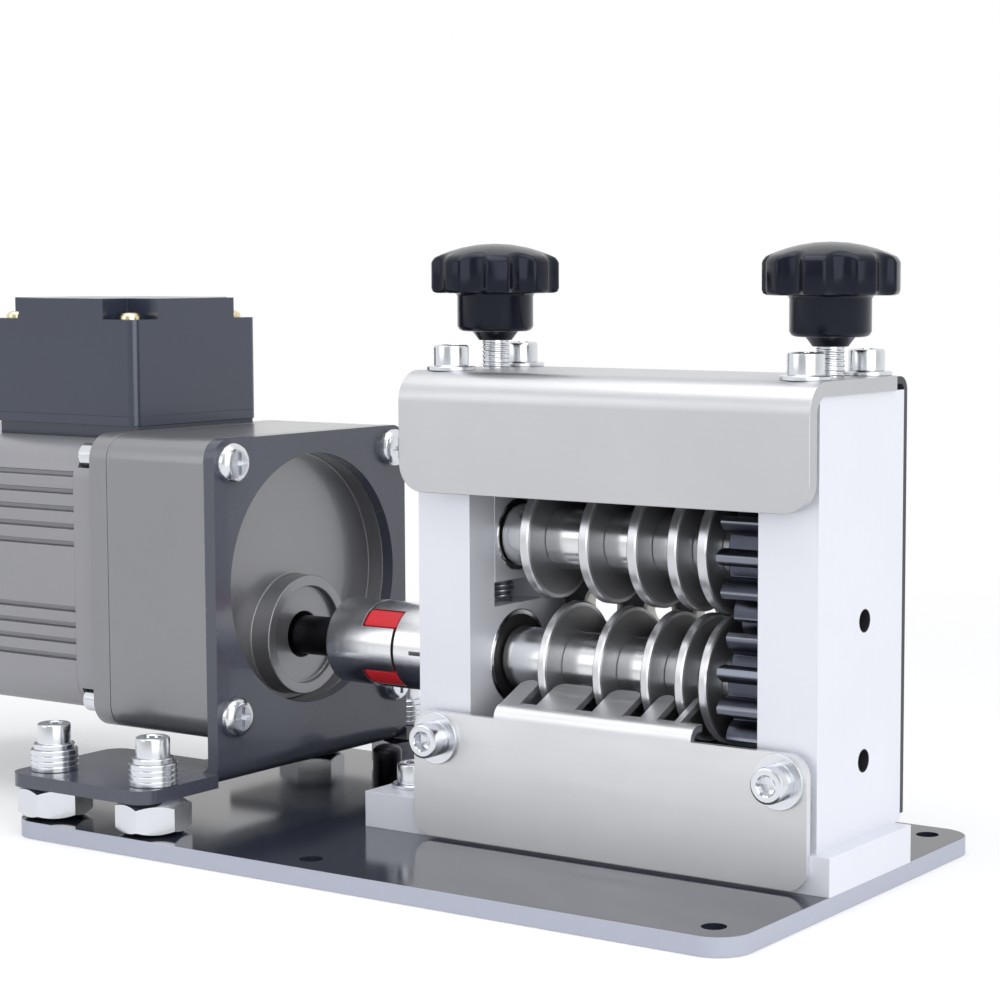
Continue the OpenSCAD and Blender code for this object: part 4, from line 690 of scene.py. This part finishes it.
def knob_shape(name, spot, heights, turn):
    """A lobed knob about Z at spot: collar, neck, lobes with round corners and a domed top."""
    collar_z, neck_z, rim_z, dome_z, top_z = heights
    lobe_r, valley_r, valley_at, neck_r, soft = 0.0185, 0.005, 0.021, 0.011, 0.0011
    dome_r = (lobe_r ** 2 + (top_z - dome_z) ** 2) / (2 * (top_z - dome_z))
    steps = 192

    def outline(angle):
        off = (angle - turn) % (math.pi / 4)
        off = min(off, math.pi / 4 - off)
        cut = valley_r ** 2 - (valley_at * math.sin(off)) ** 2
        if cut <= 0:
            return lobe_r
        valley = valley_at * math.cos(off) - math.sqrt(cut)
        blend = max(0.0, soft - abs(valley - lobe_r)) / soft
        return min(valley, lobe_r) - blend * blend * soft / 4

    def dome(reach):
        return top_z - dome_r + math.sqrt(dome_r ** 2 - reach ** 2)

    def ring(bm, radius, height):
        loop = []
        for i in range(steps):
            angle = 2 * math.pi * i / steps
            reach = radius(outline(angle)) if callable(radius) else radius
            z = height(reach) if callable(height) else height
            x, y = spot[0] + reach * math.cos(angle), spot[1] + reach * math.sin(angle)
            loop.append(bm.verts.new((x, y, z)))
        return loop

    bm = bmesh.new()
    loops = [
        ring(bm, 0.0041, collar_z), ring(bm, 0.0048, collar_z), ring(bm, 0.0066, neck_z - 0.0002),
        ring(bm, 0.0072, neck_z), ring(bm, neck_r - 0.0016, neck_z),
        ring(bm, neck_r - 0.0006, neck_z + 0.0004),
        ring(bm, neck_r, neck_z + 0.0014), ring(bm, neck_r, rim_z - 0.0010),
        ring(bm, neck_r + 0.0003, rim_z - 0.0003), ring(bm, neck_r + 0.0010, rim_z),
        ring(bm, lambda r: r - 0.0014, rim_z), ring(bm, lambda r: r - 0.0004, rim_z + 0.0004),
        ring(bm, lambda r: r, rim_z + 0.0014),
        ring(bm, lambda r: r, lambda r: dome(r) - 0.0011),
        ring(bm, lambda r: r - 0.0003, lambda r: dome(r + 0.0003) - 0.0004),
        ring(bm, lambda r: r - 0.0010, dome),
    ]
    loops += [ring(bm, lambda r, s=share: (r - 0.0010) * s, dome) for share in (0.9, 0.75, 0.55, 0.3)]
    top = bm.verts.new((spot[0], spot[1], top_z))
    bottom = bm.verts.new((spot[0], spot[1], collar_z))
    for i in range(steps):
        j = (i + 1) % steps
        bm.faces.new((bottom, loops[0][j], loops[0][i]))
        bm.faces.new((loops[-1][i], loops[-1][j], top))
        for low, high in zip(loops, loops[1:]):
            bm.faces.new((low[i], low[j], high[j], high[i]))
    bmesh.ops.recalc_face_normals(bm, faces=bm.faces)
    mesh = bpy.data.meshes.new(name)
    bm.to_mesh(mesh)
    bm.free()
    mesh.shade_smooth()
    mesh.set_sharp_from_angle(angle=math.radians(50))
    return mesh


# Knobs: glossy black thermoset moulded on zinc plated 8 mm screws with a 1.25 mm thread, which
# press on the bearing blocks.
knob_black = painted("knob_black", (0.003, 0.003, 0.008), 0.20, peel=0.02, shade=0.1,
    sockets={"Specular IOR Level": 0.30, "Specular Tint": (0.72, 0.80, 1.0, 1)})
PITCH, CORE_R, ROOT_R, RIDGE_R = 0.00125, 0.0036, 0.00345, 0.00055
for part, turn in (("knob_left", -74), ("knob_right", -53)):
    low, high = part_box(part)
    spot = ((low.x + high.x) / 2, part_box("upper_shaft")[0].y + 0.006)
    collar_z = cover_top + 0.0082
    heights = (collar_z, collar_z + 0.0026, collar_z + 0.0136, collar_z + 0.0233, high.z)
    mesh = knob_shape(part + "_moulding", spot, heights, math.radians(turn))
    knob = bpy.data.objects.new(part + "_moulding", mesh)
    bpy.context.scene.collection.objects.link(knob)
    placed(knob, part, knob_black)
    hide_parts(part)
    core = turned(part + "_core", [
        (0, low.z), (CORE_R - 0.0004, low.z), (CORE_R, low.z + 0.0006),
        (CORE_R, collar_z + 0.001), (0, collar_z + 0.001),
    ])
    core.transform(Matrix.Translation((spot[0], spot[1], 0)))
    length = math.floor((collar_z - low.z - 0.002) / PITCH) * PITCH
    screw = grown(part + "_screw", core, winding, {
        winding_in["Foot"]: (spot[0], spot[1], collar_z - length), winding_in["Root Radius"]: ROOT_R,
        winding_in["Ridge"]: RIDGE_R, winding_in["Turns"]: length / PITCH,
        winding_in["Length"]: length, winding_in["Finish"]: bright_zinc,
    })
    placed(screw, part, bright_zinc)
